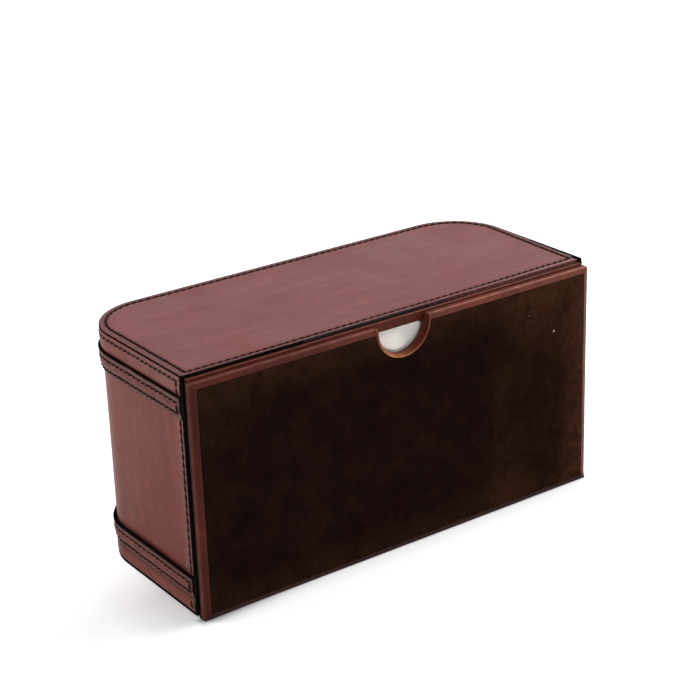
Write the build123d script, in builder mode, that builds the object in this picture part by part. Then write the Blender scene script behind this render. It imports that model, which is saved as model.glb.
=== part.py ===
from build123d import *
import os

# A leather tissue box that lies on its long side. The case is a D in plan, straight at its open
# front (-Y) and round at its two rear corners. A tray with a suede front slides out of it along -Y,
# and the tissues are pulled through a slot in the back. Millimetres, +Z up, the origin on the floor
# under the middle of the whole box.

# Driving dimensions of the case
case_width = 260.0
case_depth = 106.0
case_height = 133.0
corner_radius = 34.0

# Leather, board and lining, from the outside inwards
cover_leather = 2.0
collar_leather = 1.0
wall_leather_thickness = 1.6
board = 4.7
wall_board_thickness = 4.2
lining = 1.0
edge_round = 0.6

# The mouth: a binding covers the boards' edges and stands in front of the painted leather
binding = 1.5
binding_round = 0.5
drawer_gap = 0.3

# The raised straps, measured down from the top edge of each
band_height = 13.0
upper_band_drop = 11.6
lower_band_top = 22.4
band_proud = 1.2
band_rows = (3.8, 9.8)
band_groove = 0.5
band_edge_break = 0.3
band_rolls = (9.0, 7.5, 6.0)
base_strip_inset = 0.3

# The tissue slot in the back
slot_length = 150.0
slot_height = 26.0
slot_edge = 1.4
slot_lip = 3.0
slot_lip_proud = 0.5
slot_lip_chamfer = 0.3

# The drawer's front
front_side_inset = 0.5
front_top_drop = 3.1
front_floor_gap = 0.4
front_side_depth = 3.2
front_bevel_depth = 2.0
front_bevel_side = 3.9
front_bevel_top = 2.7
front_leather = 1.0
front_lip = 0.5
suede = 0.9
backing = 0.8
corner_round = 0.8

# The finger notch, with straight sides down to a half circle
notch_radius = 15.9
notch_straight = 2.0
notch_lining_thickness = 0.8
notch_bead = 0.8
notch_bead_proud = 0.3
bead_facet = 45

# The tray
tray_clearance = 0.5
tray_floor_clearance = 0.3
tray_board = 3.0
tray_lining = 0.8
tray_side_height = 88.0
tray_rail_height = 34.0
tray_corner_radius = 25.5

# The tissues
stack_width = 228.0
stack_depth = 74.0
stack_front_gap = 2.5
stack_top_gap = 1.4
stack_corner = 1.5

# Places that follow from them
front_thickness = front_side_depth + front_bevel_depth
front_reach = notch_bead_proud + front_thickness + drawer_gap + binding
overall_depth = front_reach + case_depth + band_proud
leather_front = front_reach - overall_depth / 2
binding_front = leather_front - binding
case_back = leather_front + case_depth

wall_leather_inset = collar_leather
wall_board_inset = wall_leather_inset + wall_leather_thickness
lining_inset = wall_board_inset + wall_board_thickness
cavity_inset = lining_inset + lining

base_board_z = cover_leather
base_lining_z = base_board_z + board
cavity_floor = base_lining_z + lining
top_leather_z = case_height - cover_leather
top_board_z = top_leather_z - board
cavity_ceiling = top_board_z - lining
slot_z = case_height / 2

front_back_y = binding_front - drawer_gap
arris_y = front_back_y - front_side_depth
front_face_y = arris_y - front_bevel_depth
front_half = case_width / 2 - front_side_inset
front_bottom = front_floor_gap
front_top = case_height - front_top_drop
plateau_half = front_half - front_bevel_side
plateau_bottom = front_bottom + front_bevel_top
plateau_top = front_top - front_bevel_top
suede_back_y = front_face_y + suede
notch_z = front_top - notch_straight
notch_outer = notch_radius + notch_lining_thickness
notch_clear = notch_outer + notch_bead

cavity_half = case_width / 2 - cavity_inset
tray_half = cavity_half - tray_clearance
tray_z = cavity_floor + tray_floor_clearance
tray_lining_z = tray_z + tray_board
stack_z = tray_lining_z + tray_lining
tray_back = case_back - cavity_inset - 2 * tray_clearance
tray_turn = tray_back - tray_corner_radius
tray_side_top = tray_z + tray_side_height
tray_rail_top = tray_z + tray_rail_height
stack_front = front_back_y + stack_front_gap
stack_top = cavity_ceiling - stack_top_gap

os.makedirs("parts", exist_ok=True)


def d_outline(half, back, radius, front):
    # A D in plan: straight at the front, with two round corners at the back.
    turn = back - radius
    with BuildSketch() as outline:
        with BuildLine():
            Polyline((-half, turn), (-half, front), (half, front), (half, turn))
            CenterArc((half - radius, turn), radius, 0, 90)
            Line((half - radius, back), (radius - half, back))
            CenterArc((radius - half, turn), radius, 90, 90)
        make_face()
    return outline.sketch


def case_outline(inset, front):
    # The D of the case, moved inwards by inset and cut off at front.
    return d_outline(case_width / 2 - inset, case_back - inset, corner_radius - inset, front)


def case_plate(inset, front, bottom, thickness):
    # A flat D-shaped sheet.
    with BuildPart() as plate:
        with BuildSketch(Plane.XY.offset(bottom)):
            add(case_outline(inset, front))
        extrude(amount=thickness)
    return plate.part


def case_wall(outer_inset, inner_inset, front, bottom, height):
    # An upright sheet bent round both ends and the back, open at the front.
    with BuildPart() as wall:
        with BuildSketch(Plane.XY.offset(bottom)):
            add(case_outline(outer_inset, front))
            add(case_outline(inner_inset, front - corner_radius), mode=Mode.SUBTRACT)
        extrude(amount=height)
    return wall.part


def slot_prism(margin, front, depth):
    # The tissue slot with its round ends, as a solid that runs through the back wall.
    with BuildPart() as prism:
        with BuildSketch(Plane(origin=(0, front, slot_z), x_dir=(1, 0, 0), z_dir=(0, 1, 0))):
            SlotOverall(slot_length + 2 * margin, slot_height + 2 * margin)
        extrude(amount=depth)
    return prism.part


def slot_cutter(margin):
    # The slot's opening, through the back wall and clear of it on both sides.
    return slot_prism(margin, case_back - corner_radius, 2 * corner_radius)


def band(top):
    # A strap sewn on in two rows: thick at its painted top edge, pinched along both rows of
    # stitches and pared down to the wall at its lower edge.
    half = case_width / 2 - wall_leather_inset
    inner = wall_leather_inset
    first_row, second_row = band_rows
    upper_radius, middle_radius, lower_radius = band_rolls
    crest = inner + band_proud
    with BuildLine() as path:
        turn = case_back - corner_radius
        radius = corner_radius - inner
        left_side = Line((-half, leather_front, top), (-half, turn, top))
        left_turn = RadiusArc(left_side @ 1, (radius - half, case_back - inner, top), radius)
        back_side = Line(left_turn @ 1, (half - radius, case_back - inner, top))
        right_turn = RadiusArc(back_side @ 1, (half, turn, top), radius)
        Line(right_turn @ 1, (half, leather_front, top))
    with BuildPart() as strap:
        with BuildSketch(Plane(origin=left_side @ 0, x_dir=(-1, 0, 0), z_dir=(0, 1, 0))):
            with BuildLine():
                top_edge = Line((0, 0), (crest - band_edge_break, 0))
                shoulder = Line(top_edge @ 1, (crest, -band_edge_break))
                upper_roll = RadiusArc(shoulder @ 1, (crest - band_groove, -first_row), -upper_radius)
                middle_roll = RadiusArc(upper_roll @ 1, (crest - 2 * band_groove, -second_row), -middle_radius)
                lower_roll = RadiusArc(middle_roll @ 1, (band_edge_break, -band_height), -lower_radius)
                Polyline(lower_roll @ 1, (0, -band_height), (0, 0))
            make_face()
        sweep(path=path.line)
    return strap.part


# The case's boards
with BuildPart() as top_board:
    add(case_plate(wall_board_inset, leather_front, top_board_z, board))
top_board.part.label = "top_board"
export_step(top_board.part, "parts/top_board.step")

with BuildPart() as base_board:
    add(case_plate(wall_board_inset, leather_front, base_board_z, board))
base_board.part.label = "base_board"
export_step(base_board.part, "parts/base_board.step")

with BuildPart() as wall_board:
    add(case_wall(wall_board_inset, lining_inset, leather_front, base_lining_z, top_board_z - base_lining_z))
    add(slot_cutter(slot_edge), mode=Mode.SUBTRACT)
wall_board.part.label = "wall_board"
export_step(wall_board.part, "parts/wall_board.step")

# Leather on the outside of the case
with BuildPart() as top_leather:
    add(case_plate(0, leather_front, top_leather_z, cover_leather))
    fillet(top_leather.faces().sort_by(Axis.Z)[-1].edges(), edge_round)
top_leather.part.label = "top_leather"
export_step(top_leather.part, "parts/top_leather.step")

with BuildPart() as base_leather:
    add(case_plate(base_strip_inset, leather_front, 0, cover_leather))
    fillet(base_leather.faces().sort_by(Axis.Z)[0].edges(), edge_round)
base_leather.part.label = "base_leather"
export_step(base_leather.part, "parts/base_leather.step")

wall_height = top_leather_z - cover_leather
with BuildPart() as wall_leather:
    add(case_wall(wall_leather_inset, wall_board_inset, leather_front, cover_leather, wall_height))
    add(slot_cutter(slot_edge), mode=Mode.SUBTRACT)
wall_leather.part.label = "wall_leather"
export_step(wall_leather.part, "parts/wall_leather.step")

upper_band_top = case_height - upper_band_drop
with BuildPart() as top_collar:
    add(case_wall(0, wall_leather_inset, leather_front, upper_band_top, top_leather_z - upper_band_top))
top_collar.part.label = "top_collar"
export_step(top_collar.part, "parts/top_collar.step")

base_strip_height = lower_band_top - band_height - cover_leather
with BuildPart() as base_strip:
    add(case_wall(base_strip_inset, wall_leather_inset, leather_front, cover_leather, base_strip_height))
base_strip.part.label = "base_strip"
export_step(base_strip.part, "parts/base_strip.step")

with BuildPart() as upper_band:
    add(band(upper_band_top))
upper_band.part.label = "upper_band"
export_step(upper_band.part, "parts/upper_band.step")

with BuildPart() as lower_band:
    add(band(lower_band_top))
lower_band.part.label = "lower_band"
export_step(lower_band.part, "parts/lower_band.step")

# The lining of the case
with BuildPart() as top_lining:
    add(case_plate(lining_inset, leather_front, cavity_ceiling, lining))
top_lining.part.label = "top_lining"
export_step(top_lining.part, "parts/top_lining.step")

with BuildPart() as base_lining:
    add(case_plate(lining_inset, leather_front, base_lining_z, lining))
base_lining.part.label = "base_lining"
export_step(base_lining.part, "parts/base_lining.step")

with BuildPart() as wall_lining:
    add(case_wall(lining_inset, cavity_inset, leather_front, cavity_floor, cavity_ceiling - cavity_floor))
    add(slot_cutter(slot_edge), mode=Mode.SUBTRACT)
wall_lining.part.label = "wall_lining"
export_step(wall_lining.part, "parts/wall_lining.step")

# The binding round the mouth, four strips that meet in the corners
binding_half = case_width / 2 - wall_board_inset
for name, low, high in (("top", cavity_ceiling, top_leather_z), ("bottom", cover_leather, cavity_floor)):
    with BuildPart() as strip:
        with BuildSketch(Plane.XY.offset(low)):
            with Locations((0, leather_front - binding / 2)):
                Rectangle(2 * binding_half, binding)
        extrude(amount=high - low)
        fillet(strip.faces().sort_by(Axis.Y)[0].edges().filter_by(Axis.X), binding_round)
    strip.part.label = "mouth_binding_" + name
    export_step(strip.part, "parts/mouth_binding_" + name + ".step")

for name, side in (("left", -1), ("right", 1)):
    with BuildPart() as strip:
        with BuildSketch(Plane.XY.offset(cavity_floor)):
            with Locations((side * (binding_half + cavity_half) / 2, leather_front - binding / 2)):
                Rectangle(binding_half - cavity_half, binding)
        extrude(amount=cavity_ceiling - cavity_floor)
        fillet(strip.faces().sort_by(Axis.Y)[0].edges().filter_by(Axis.Z), binding_round)
    strip.part.label = "mouth_binding_" + name
    export_step(strip.part, "parts/mouth_binding_" + name + ".step")

# The edging of the tissue slot: a sleeve through the wall with a lip on the outside
wall_inside = case_back - cavity_inset
wall_outside = case_back - wall_leather_inset
with BuildPart() as slot_edging:
    add(slot_prism(slot_edge, wall_inside, wall_outside - wall_inside))
    add(slot_prism(slot_edge + slot_lip, wall_outside, slot_lip_proud))
    chamfer(slot_edging.faces().sort_by(Axis.Y)[-1].edges(), slot_lip_chamfer)
    add(slot_cutter(0), mode=Mode.SUBTRACT)
slot_edging.part.label = "slot_edging"
export_step(slot_edging.part, "parts/slot_edging.step")

# The drawer's front: a bevelled board in a leather border, with a suede face let into it


def front_rectangle(half, bottom, top, y):
    # An upright rectangle that faces -Y.
    middle = (0, y, (bottom + top) / 2)
    with BuildSketch(Plane(origin=middle, x_dir=(1, 0, 0), z_dir=(0, -1, 0))) as face:
        Rectangle(2 * half, top - bottom)
    return face.sketch


def bevelled_slab(margin, back, face):
    # The drawer's front, smaller by margin on its edges and bevel, from back to face.
    edge_half = front_half - margin
    edge_bottom = front_bottom + margin
    edge_top = front_top - margin
    face_half = plateau_half - margin
    face_bottom = plateau_bottom + margin
    face_top = plateau_top - margin
    with BuildPart() as slab:
        extrude(front_rectangle(edge_half, edge_bottom, edge_top, back), amount=back - arris_y)
        loft(
            [
                front_rectangle(edge_half, edge_bottom, edge_top, arris_y).face(),
                front_rectangle(face_half, face_bottom, face_top, face).face(),
            ]
        )
    return slab.part


def suede_slab():
    # The suede's rectangle inside the border's lip, from its back to the front's face.
    half = plateau_half - front_lip
    bottom = plateau_bottom + front_lip
    top = plateau_top - front_lip
    with BuildPart() as slab:
        extrude(front_rectangle(half, bottom, top, suede_back_y), amount=suede)
    return slab.part


def notch_cutter(radius):
    # The finger notch, open at the top of the front and right through it.
    with BuildPart() as cutter:
        with BuildSketch(Plane(origin=(0, front_back_y, notch_z), x_dir=(1, 0, 0), z_dir=(0, -1, 0))):
            Circle(radius)
            with Locations((0, radius / 2)):
                Rectangle(2 * radius, radius)
        extrude(amount=2 * front_thickness, both=True)
    return cutter.part


with BuildPart() as front_border:
    add(bevelled_slab(0, front_back_y, front_face_y))
    fillet(front_border.edges().filter_by(Axis.Y), corner_round)
    add(bevelled_slab(front_leather, front_back_y, suede_back_y), mode=Mode.SUBTRACT)
    add(suede_slab(), mode=Mode.SUBTRACT)
    add(notch_cutter(notch_clear), mode=Mode.SUBTRACT)
front_border.part.label = "front_border"
export_step(front_border.part, "parts/front_border.step")

with BuildPart() as front_board:
    add(bevelled_slab(front_leather, front_back_y - backing, suede_back_y))
    add(notch_cutter(notch_outer), mode=Mode.SUBTRACT)
front_board.part.label = "front_board"
export_step(front_board.part, "parts/front_board.step")

backing_half = front_half - front_leather
with BuildPart() as front_backing:
    extrude(
        front_rectangle(backing_half, front_bottom + front_leather, front_top - front_leather, front_back_y),
        amount=backing,
    )
    add(notch_cutter(notch_outer), mode=Mode.SUBTRACT)
front_backing.part.label = "front_backing"
export_step(front_backing.part, "parts/front_backing.step")

with BuildPart() as suede_panel:
    add(suede_slab())
    add(notch_cutter(notch_clear), mode=Mode.SUBTRACT)
suede_panel.part.label = "suede_panel"
export_step(suede_panel.part, "parts/suede_panel.step")

# The notch's lining: leather through the board, rolled over into a bead on the face
bead_radius = (notch_clear - notch_radius) / 2
bead_y = front_face_y - notch_bead_proud + bead_radius
with BuildPart() as notch_lining:
    with BuildSketch(Plane.XY.offset(notch_z)):
        with BuildLine():
            bead = [
                Vector(notch_radius + bead_radius, bead_y) + Vector(-bead_radius, 0).rotate(Axis.Z, turn)
                for turn in range(0, 181, bead_facet)
            ]
            Polyline(
                *bead,
                (notch_clear, suede_back_y),
                (notch_outer, suede_back_y),
                (notch_outer, front_back_y),
                (notch_radius, front_back_y),
                close=True,
            )
        make_face()
    revolve(axis=Axis((0, 0, notch_z), (0, 1, 0)), revolution_arc=180)
    for end in notch_lining.faces().filter_by(Axis.Z).sort_by(Axis.Z)[-2:]:
        extrude(end, amount=notch_straight)
notch_lining.part.label = "notch_lining"
export_step(notch_lining.part, "parts/notch_lining.step")

# The tray that carries the tissues
with BuildPart() as drawer_floor:
    with BuildSketch(Plane.XY.offset(tray_z)):
        add(d_outline(tray_half, tray_back, tray_corner_radius, front_back_y))
    extrude(amount=tray_board)
drawer_floor.part.label = "drawer_floor"
export_step(drawer_floor.part, "parts/drawer_floor.step")

tray_inner_half = tray_half - tray_board
tray_inner_back = tray_back - tray_board
tray_inner_radius = tray_corner_radius - tray_board
with BuildPart() as drawer_floor_lining:
    with BuildSketch(Plane.XY.offset(tray_lining_z)):
        add(d_outline(tray_inner_half, tray_inner_back, tray_inner_radius, front_back_y))
    extrude(amount=tray_lining)
drawer_floor_lining.part.label = "drawer_floor_lining"
export_step(drawer_floor_lining.part, "parts/drawer_floor_lining.step")

# The sides sweep down to the low rail at the back, so that the tissues pass over it
sweep_down = tray_side_top - tray_rail_top
for name, inner_face in (("left", -tray_half), ("right", tray_half - tray_board)):
    with BuildPart() as side:
        with BuildSketch(Plane.YZ.offset(inner_face)):
            with BuildLine():
                curve = CenterArc((tray_turn, tray_side_top), sweep_down, 180, 90)
                Polyline(
                    curve @ 0,
                    (front_back_y, tray_side_top),
                    (front_back_y, tray_lining_z),
                    (tray_turn, tray_lining_z),
                    curve @ 1,
                )
            make_face()
        extrude(amount=tray_board)
    side.part.label = "drawer_side_" + name
    export_step(side.part, "parts/drawer_side_" + name + ".step")

with BuildPart() as drawer_back_rail:
    with BuildSketch(Plane.XY.offset(tray_lining_z)):
        add(d_outline(tray_half, tray_back, tray_corner_radius, front_back_y))
        add(d_outline(tray_inner_half, tray_inner_back, tray_inner_radius, arris_y), mode=Mode.SUBTRACT)
    extrude(amount=tray_rail_top - tray_lining_z)
    split(bisect_by=Plane.XZ.offset(-tray_turn), keep=Keep.BOTTOM)
drawer_back_rail.part.label = "drawer_back_rail"
export_step(drawer_back_rail.part, "parts/drawer_back_rail.step")

# The tissues, folded and stacked from front to back
with BuildPart() as tissue_stack:
    with BuildSketch(Plane.XY.offset(stack_z)):
        with Locations((0, stack_front + stack_depth / 2)):
            Rectangle(stack_width, stack_depth)
    extrude(amount=stack_top - stack_z)
    fillet(tissue_stack.edges().filter_by(Axis.Y), stack_corner)
tissue_stack.part.label = "tissue_stack"
export_step(tissue_stack.part, "parts/tissue_stack.step")
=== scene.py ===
import math

import bmesh
import bpy
from mathutils import Matrix, Vector, noise


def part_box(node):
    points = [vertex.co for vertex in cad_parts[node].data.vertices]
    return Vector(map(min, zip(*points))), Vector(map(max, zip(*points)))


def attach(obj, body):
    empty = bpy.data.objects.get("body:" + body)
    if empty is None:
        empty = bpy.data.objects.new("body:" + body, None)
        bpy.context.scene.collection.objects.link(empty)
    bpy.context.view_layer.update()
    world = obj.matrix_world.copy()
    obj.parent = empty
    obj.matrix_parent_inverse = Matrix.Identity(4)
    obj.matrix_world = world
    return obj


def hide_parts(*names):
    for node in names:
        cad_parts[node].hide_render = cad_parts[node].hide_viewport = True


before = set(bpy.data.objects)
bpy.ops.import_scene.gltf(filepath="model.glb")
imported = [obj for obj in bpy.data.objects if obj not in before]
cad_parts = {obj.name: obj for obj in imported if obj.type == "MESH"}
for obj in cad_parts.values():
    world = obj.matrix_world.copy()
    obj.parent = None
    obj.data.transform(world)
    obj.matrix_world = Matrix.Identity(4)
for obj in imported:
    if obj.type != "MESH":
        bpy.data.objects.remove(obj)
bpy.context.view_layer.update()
mm = 0.001
print("frame loaded:", len(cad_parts), "nodes")

# The case's outline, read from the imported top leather
topLow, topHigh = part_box("top_leather")
case = {
    "half": topHigh.x,
    "front": topLow.y,
    "back": topHigh.y,
    "top": topHigh.z,
    "radius": 34 * mm,
}
case["turn"] = case["back"] - case["radius"]
case["side"] = case["turn"] - case["front"]
case["arc"] = case["radius"] * math.pi / 2
case["rear"] = 2 * (case["half"] - case["radius"])
case["around"] = 2 * case["side"] + 2 * case["arc"] + case["rear"]


def clamp(value):
    return max(0.0, min(1.0, value))


def bell(value, centre, width):
    return math.exp(-((value - centre) / width) ** 2)


def ripple(x, y, z):
    return noise.noise(Vector((x, y, z)))


def rightLitShare(x):
    # Share of painted light on the leather's edges: their painted highlight is lighter and more orange towards
    # the case's right end, where more light falls. It also thins the black on the top's front edge there.
    share = clamp((x + 110 * mm) / (200 * mm))
    return share * share * (3 - 2 * share)


# Shader helpers
def setInputs(tree, node, inputs):
    # Each input gets a link if its value is another node's socket, or else the plain value.
    for key, value in inputs.items():
        if isinstance(value, bpy.types.NodeSocket):
            tree.links.new(value, node.inputs[key])
        else:
            node.inputs[key].default_value = value


def addNode(tree, kind, inputs=None, **settings):
    node = tree.nodes.new(kind)
    for key, value in settings.items():
        setattr(node, key, value)
    setInputs(tree, node, inputs or {})
    return node


def newMaterial(name):
    # A material with its shader, and the object's own coordinates to place marks by.
    material = bpy.data.materials.new(name)
    material.use_nodes = True
    tree = material.node_tree
    tree.nodes.clear()
    output = tree.nodes.new("ShaderNodeOutputMaterial")
    shader = tree.nodes.new("ShaderNodeBsdfPrincipled")
    tree.links.new(shader.outputs["BSDF"], output.inputs["Surface"])
    return material, tree, shader, tree.nodes.new("ShaderNodeTexCoord").outputs["Object"]


def srgb(tone):
    # An 8-bit screen colour as the linear colour that a shader takes.
    shares = [value / 255 for value in tone]
    return (*(((share + 0.055) / 1.055) ** 2.4 if share > 0.04045 else share / 12.92 for share in shares), 1.0)


def noiseAt(tree, place, scale, detail=3.0, roughness=0.5, distortion=0.0):
    inputs = {"Vector": place, "Scale": scale, "Detail": detail, "Roughness": roughness}
    inputs["Distortion"] = distortion
    return addNode(tree, "ShaderNodeTexNoise", inputs).outputs["Fac"]


def stretched(tree, place, scale):
    return addNode(tree, "ShaderNodeMapping", {"Vector": place, "Scale": scale}).outputs["Vector"]


def distanceTo(tree, place, centre):
    return addNode(tree, "ShaderNodeVectorMath", {0: place, 1: centre}, operation="DISTANCE").outputs["Value"]


def pointValue(tree, label):
    return addNode(tree, "ShaderNodeAttribute", attribute_name=label).outputs["Fac"]


def bump(tree, strength, distance, height, finer=None):
    inputs = {"Strength": strength, "Distance": distance, "Height": height}
    if finer is not None:
        inputs["Normal"] = finer
    return addNode(tree, "ShaderNodeBump", inputs).outputs["Normal"]


def remap(tree, value, low, high, toLow=0.0, toHigh=1.0):
    inputs = {"Value": value, "From Min": low, "From Max": high, "To Min": toLow, "To Max": toHigh}
    return addNode(tree, "ShaderNodeMapRange", inputs).outputs["Result"]


def combine(tree, operation, first, *others):
    for other in others:
        first = addNode(tree, "ShaderNodeMath", {0: first, 1: other}, operation=operation).outputs[0]
    return first


def tint(tree, share, colour, tone):
    return addNode(tree, "ShaderNodeMix", {0: share, 6: colour, 7: srgb(tone)}, data_type="RGBA").outputs[2]


def tintBy(tree, colour, tone, value, low, high, most=1.0):
    # Lays a tone over a colour, more of it as the value goes from low to high.
    return tint(tree, remap(tree, value, low, high, 0.0, most), colour, tone)


# Leather
coverLook = {
    "colour": (121, 52, 39),
    "deep": (104, 42, 33),
    "light": (139, 65, 47),
    # painted shade in creases, stitch grooves and where parts meet
    "creaseShade": (30, 15, 13),
    # painted highlight on rims, arrises and where more light falls
    "paintedHighlight": (164, 118, 114),
    # black of the edge paint, also used as painted shade in gaps
    "paintAndShade": (20, 15, 13),
    "cloudScale": 15.0,
    "streaks": (1.0, 1.0, 0.16),
    "mottle": 0.42,
    "roughness": 0.38,
    "ior": 1.33,
    "grain": 0.18,
}
# The top's copy is bluer, with a pinkish-grey highlight colour: painted light, the tint of the overhead light
# falling on the top.
topLitLook = dict(coverLook, colour=(118, 51, 49), deep=(106, 43, 42), light=(134, 63, 60),
               paintedHighlight=(176, 142, 145), streaks=(0.22, 1.0, 1.0), ior=1.31)
borderLook = dict(coverLook, colour=(82, 31, 24), deep=(62, 23, 18), light=(104, 43, 29), creaseShade=(26, 12, 10),
                  paintedHighlight=(166, 98, 76), cloudScale=24.0, streaks=(0.25, 1.0, 0.25), mottle=0.55,
                  roughness=0.3, ior=1.22, grain=0.15)
notchLook = dict(borderLook, paintedHighlight=(205, 132, 94), roughness=0.42, ior=1.12)
liningLook = dict(coverLook, colour=(98, 58, 40), deep=(82, 46, 32), light=(116, 74, 52), creaseShade=(50, 28, 20),
                  paintedHighlight=(120, 74, 48), cloudScale=20.0, streaks=(1.0, 1.0, 1.0), mottle=0.3,
                  roughness=0.6, ior=1.45, grain=0.35)


def leatherMaterial(name, look):
    # Smooth dyed leather: cloudy dye, fine grain, small marks, black edge paint that also stands for painted
    # shade in gaps, painted shade in creases and grooves, and painted highlights.
    material, tree, shader, place = newMaterial(name)
    clouds = noiseAt(tree, place, look["cloudScale"], 3.0, 0.55, 0.6)
    mottle = noiseAt(tree, place, 190.0, 4.0, 0.6)
    streaks = noiseAt(tree, stretched(tree, place, look["streaks"]), 100.0, 3.0, 0.6)
    colour = tintBy(tree, srgb(look["colour"]), look["deep"], clouds, 0.32, 0.68)
    colour = tintBy(tree, colour, look["light"], mottle, 0.35, 0.75, look["mottle"])
    colour = tintBy(tree, colour, look["deep"], streaks, 0.45, 0.75, 0.85)
    colour = tintBy(tree, colour, look["light"], streaks, 0.45, 0.25, 0.5)

    def broken(label, scale, detail, low, high):
        # the painted crease shade and the painted highlights break up along the hide's own unevenness
        uneven = remap(tree, noiseAt(tree, place, scale, detail), 0.3, 0.7, low, high)
        return combine(tree, "MULTIPLY", pointValue(tree, label), uneven)

    colour = tintBy(tree, colour, look["creaseShade"], broken("creaseShade", 520.0, 2.0, 0.6, 1.25), 0.0, 1.0, 0.93)
    colour = tint(tree, broken("paintedHighlight", 160.0, 3.0, 0.55, 1.35), colour, look["paintedHighlight"])
    ragged = addNode(tree, "ShaderNodeMath", {0: noiseAt(tree, place, 420.0, 2.0), 1: 0.34, 2: -0.17},
                     operation="MULTIPLY_ADD").outputs[0]
    blackened = remap(tree, combine(tree, "ADD", pointValue(tree, "paintAndShade"), ragged), 0.42, 0.58)
    colour = tint(tree, blackened, colour, look["paintAndShade"])

    sheen = remap(tree, noiseAt(tree, place, 34.0, 4.0, 0.6), 0.3, 0.7,
                  look["roughness"] - 0.05, look["roughness"] + 0.06)
    rough = addNode(tree, "ShaderNodeMix", {0: blackened, 2: sheen, 3: 0.52}, data_type="FLOAT").outputs[0]
    cells = addNode(tree, "ShaderNodeTexVoronoi", {"Vector": place, "Scale": 1050.0, "Randomness": 1.0})
    grain = combine(tree, "MULTIPLY", cells.outputs["Distance"], 0.6)
    grain = combine(tree, "ADD", grain, noiseAt(tree, place, 2600.0, 2.0, 0.6))
    normal = bump(tree, 0.35, 0.0005, noiseAt(tree, place, 70.0), bump(tree, look["grain"], 0.00012, grain))
    setInputs(tree, shader, {"Base Color": colour, "Normal": normal, "Roughness": rough, "IOR": look["ior"]})
    return material


coverLeather = leatherMaterial("coverLeather", coverLook)
topLeather = leatherMaterial("topLeather", topLitLook)
borderLeather = leatherMaterial("borderLeather", borderLook)
notchLeather = leatherMaterial("notchLeather", notchLook)
liningLeather = leatherMaterial("liningLeather", liningLook)

suede = {
    "colour": (29, 16, 14),
    "cloud": (35, 21, 17),
    # lighter spans of the nap: axis, from, to (millimetres), strength, colour; the one at the right end is
    # painted light, where more light falls from the right
    "lighterSpans": (
        ("X", 50, 62, 0.4, (42, 25, 18)),
        ("Z", 110, 126, 1.0, (66, 40, 28)),
        ("Z", 20, 4, 1.0, (58, 34, 24)),
        ("X", 60, 105, 0.45, (52, 31, 22)),
        ("X", 106, 125, 0.95, (86, 53, 37)),
        ("X", -108, -126, 0.6, (50, 30, 22)),
    ),
    # where one brushed area ends in a crisp upright edge: the edge, how it fades right and up
    "stroke": {"X": (0.0585, 0.061, 0.0, 0.5), "fadeX": (0.09, 0.07), "fadeZ": (0.1, 0.08),
               "colour": (52, 32, 23)},
    # patches: centre, reach, strength, colour
    "patches": (
        ((0.1, -0.057, 0.119), 0.04, 0.8, (80, 50, 32)),
        ((0.074, -0.057, 0.025), 0.03, 0.35, (56, 35, 24)),
        ((0.07, -0.057, 0.006), 0.022, 0.5, (84, 50, 35)),
        ((-0.108, -0.057, 0.119), 0.032, 0.6, (62, 39, 28)),
    ),
    # lint: centre, size, colour
    "specks": (
        ((0.1032, -0.057, 0.0983), 0.0009, (190, 170, 145)),
        ((0.0850, -0.057, 0.1118), 0.0006, (104, 84, 66)),
    ),
}


def suedeMaterial():
    # Dark brown suede: a soft nap that is brushed lighter in places, with painted light towards its right end,
    # and a few specks of lint.
    material, tree, shader, place = newMaterial("darkSuede")
    clouds = noiseAt(tree, place, 26.0, 4.0, 0.6, 0.3)
    brushed = noiseAt(tree, stretched(tree, place, (1.0, 1.0, 0.8)), 230.0, 5.0, 0.75)
    blotches = noiseAt(tree, place, 75.0, 4.0, 0.6)
    nap = noiseAt(tree, place, 900.0, 2.0, 0.7)
    axes = addNode(tree, "ShaderNodeSeparateXYZ", {"Vector": place}).outputs
    uneven = combine(tree, "ADD", clouds, combine(tree, "MULTIPLY", brushed, 0.8))
    uneven = remap(tree, uneven, 0.65, 1.15, 0.35, 1.2)
    colour = tintBy(tree, srgb(suede["colour"]), suede["cloud"], clouds, 0.35, 0.7)
    for axis, start, stop, strength, tone in suede["lighterSpans"]:
        paler = remap(tree, axes[axis], start * mm, stop * mm, 0.0, strength)
        paler = combine(tree, "MINIMUM", combine(tree, "MULTIPLY", paler, uneven), 1.0)
        colour = tint(tree, paler, colour, tone)
    stroke = suede["stroke"]
    paler = combine(tree, "MULTIPLY", remap(tree, axes["X"], *stroke["X"]),
                   remap(tree, axes["X"], *stroke["fadeX"]), uneven, remap(tree, axes["Z"], *stroke["fadeZ"]))
    colour = tint(tree, paler, colour, stroke["colour"])
    for centre, reach, strength, tone in suede["patches"]:
        paler = remap(tree, distanceTo(tree, place, centre), reach, reach * 0.1, 0.0, strength)
        colour = tint(tree, combine(tree, "MULTIPLY", paler, uneven), colour, tone)
    marks = ((blotches, 0.52, 0.68, 0.45, (46, 28, 20)), (blotches, 0.5, 0.36, 0.4, (21, 11, 10)),
             (brushed, 0.42, 0.66, 0.5, (19, 11, 9)), (nap, 0.35, 0.7, 0.3, (14, 8, 6)))
    for mark, low, high, most, tone in marks:
        colour = tintBy(tree, colour, tone, mark, low, high, most)
    for centre, size, tone in suede["specks"]:
        colour = tintBy(tree, colour, tone, distanceTo(tree, place, centre), size, size * 0.4)
    setInputs(tree, shader, {
        "Base Color": colour,
        "Normal": bump(tree, 0.5, 0.0003, nap),
        "Roughness": 0.95,
        "Specular IOR Level": 0.0,
        "Sheen Weight": 0.01,
        "Sheen Roughness": 0.5,
        "Sheen Tint": srgb((150, 110, 85)),
    })
    return material


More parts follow.
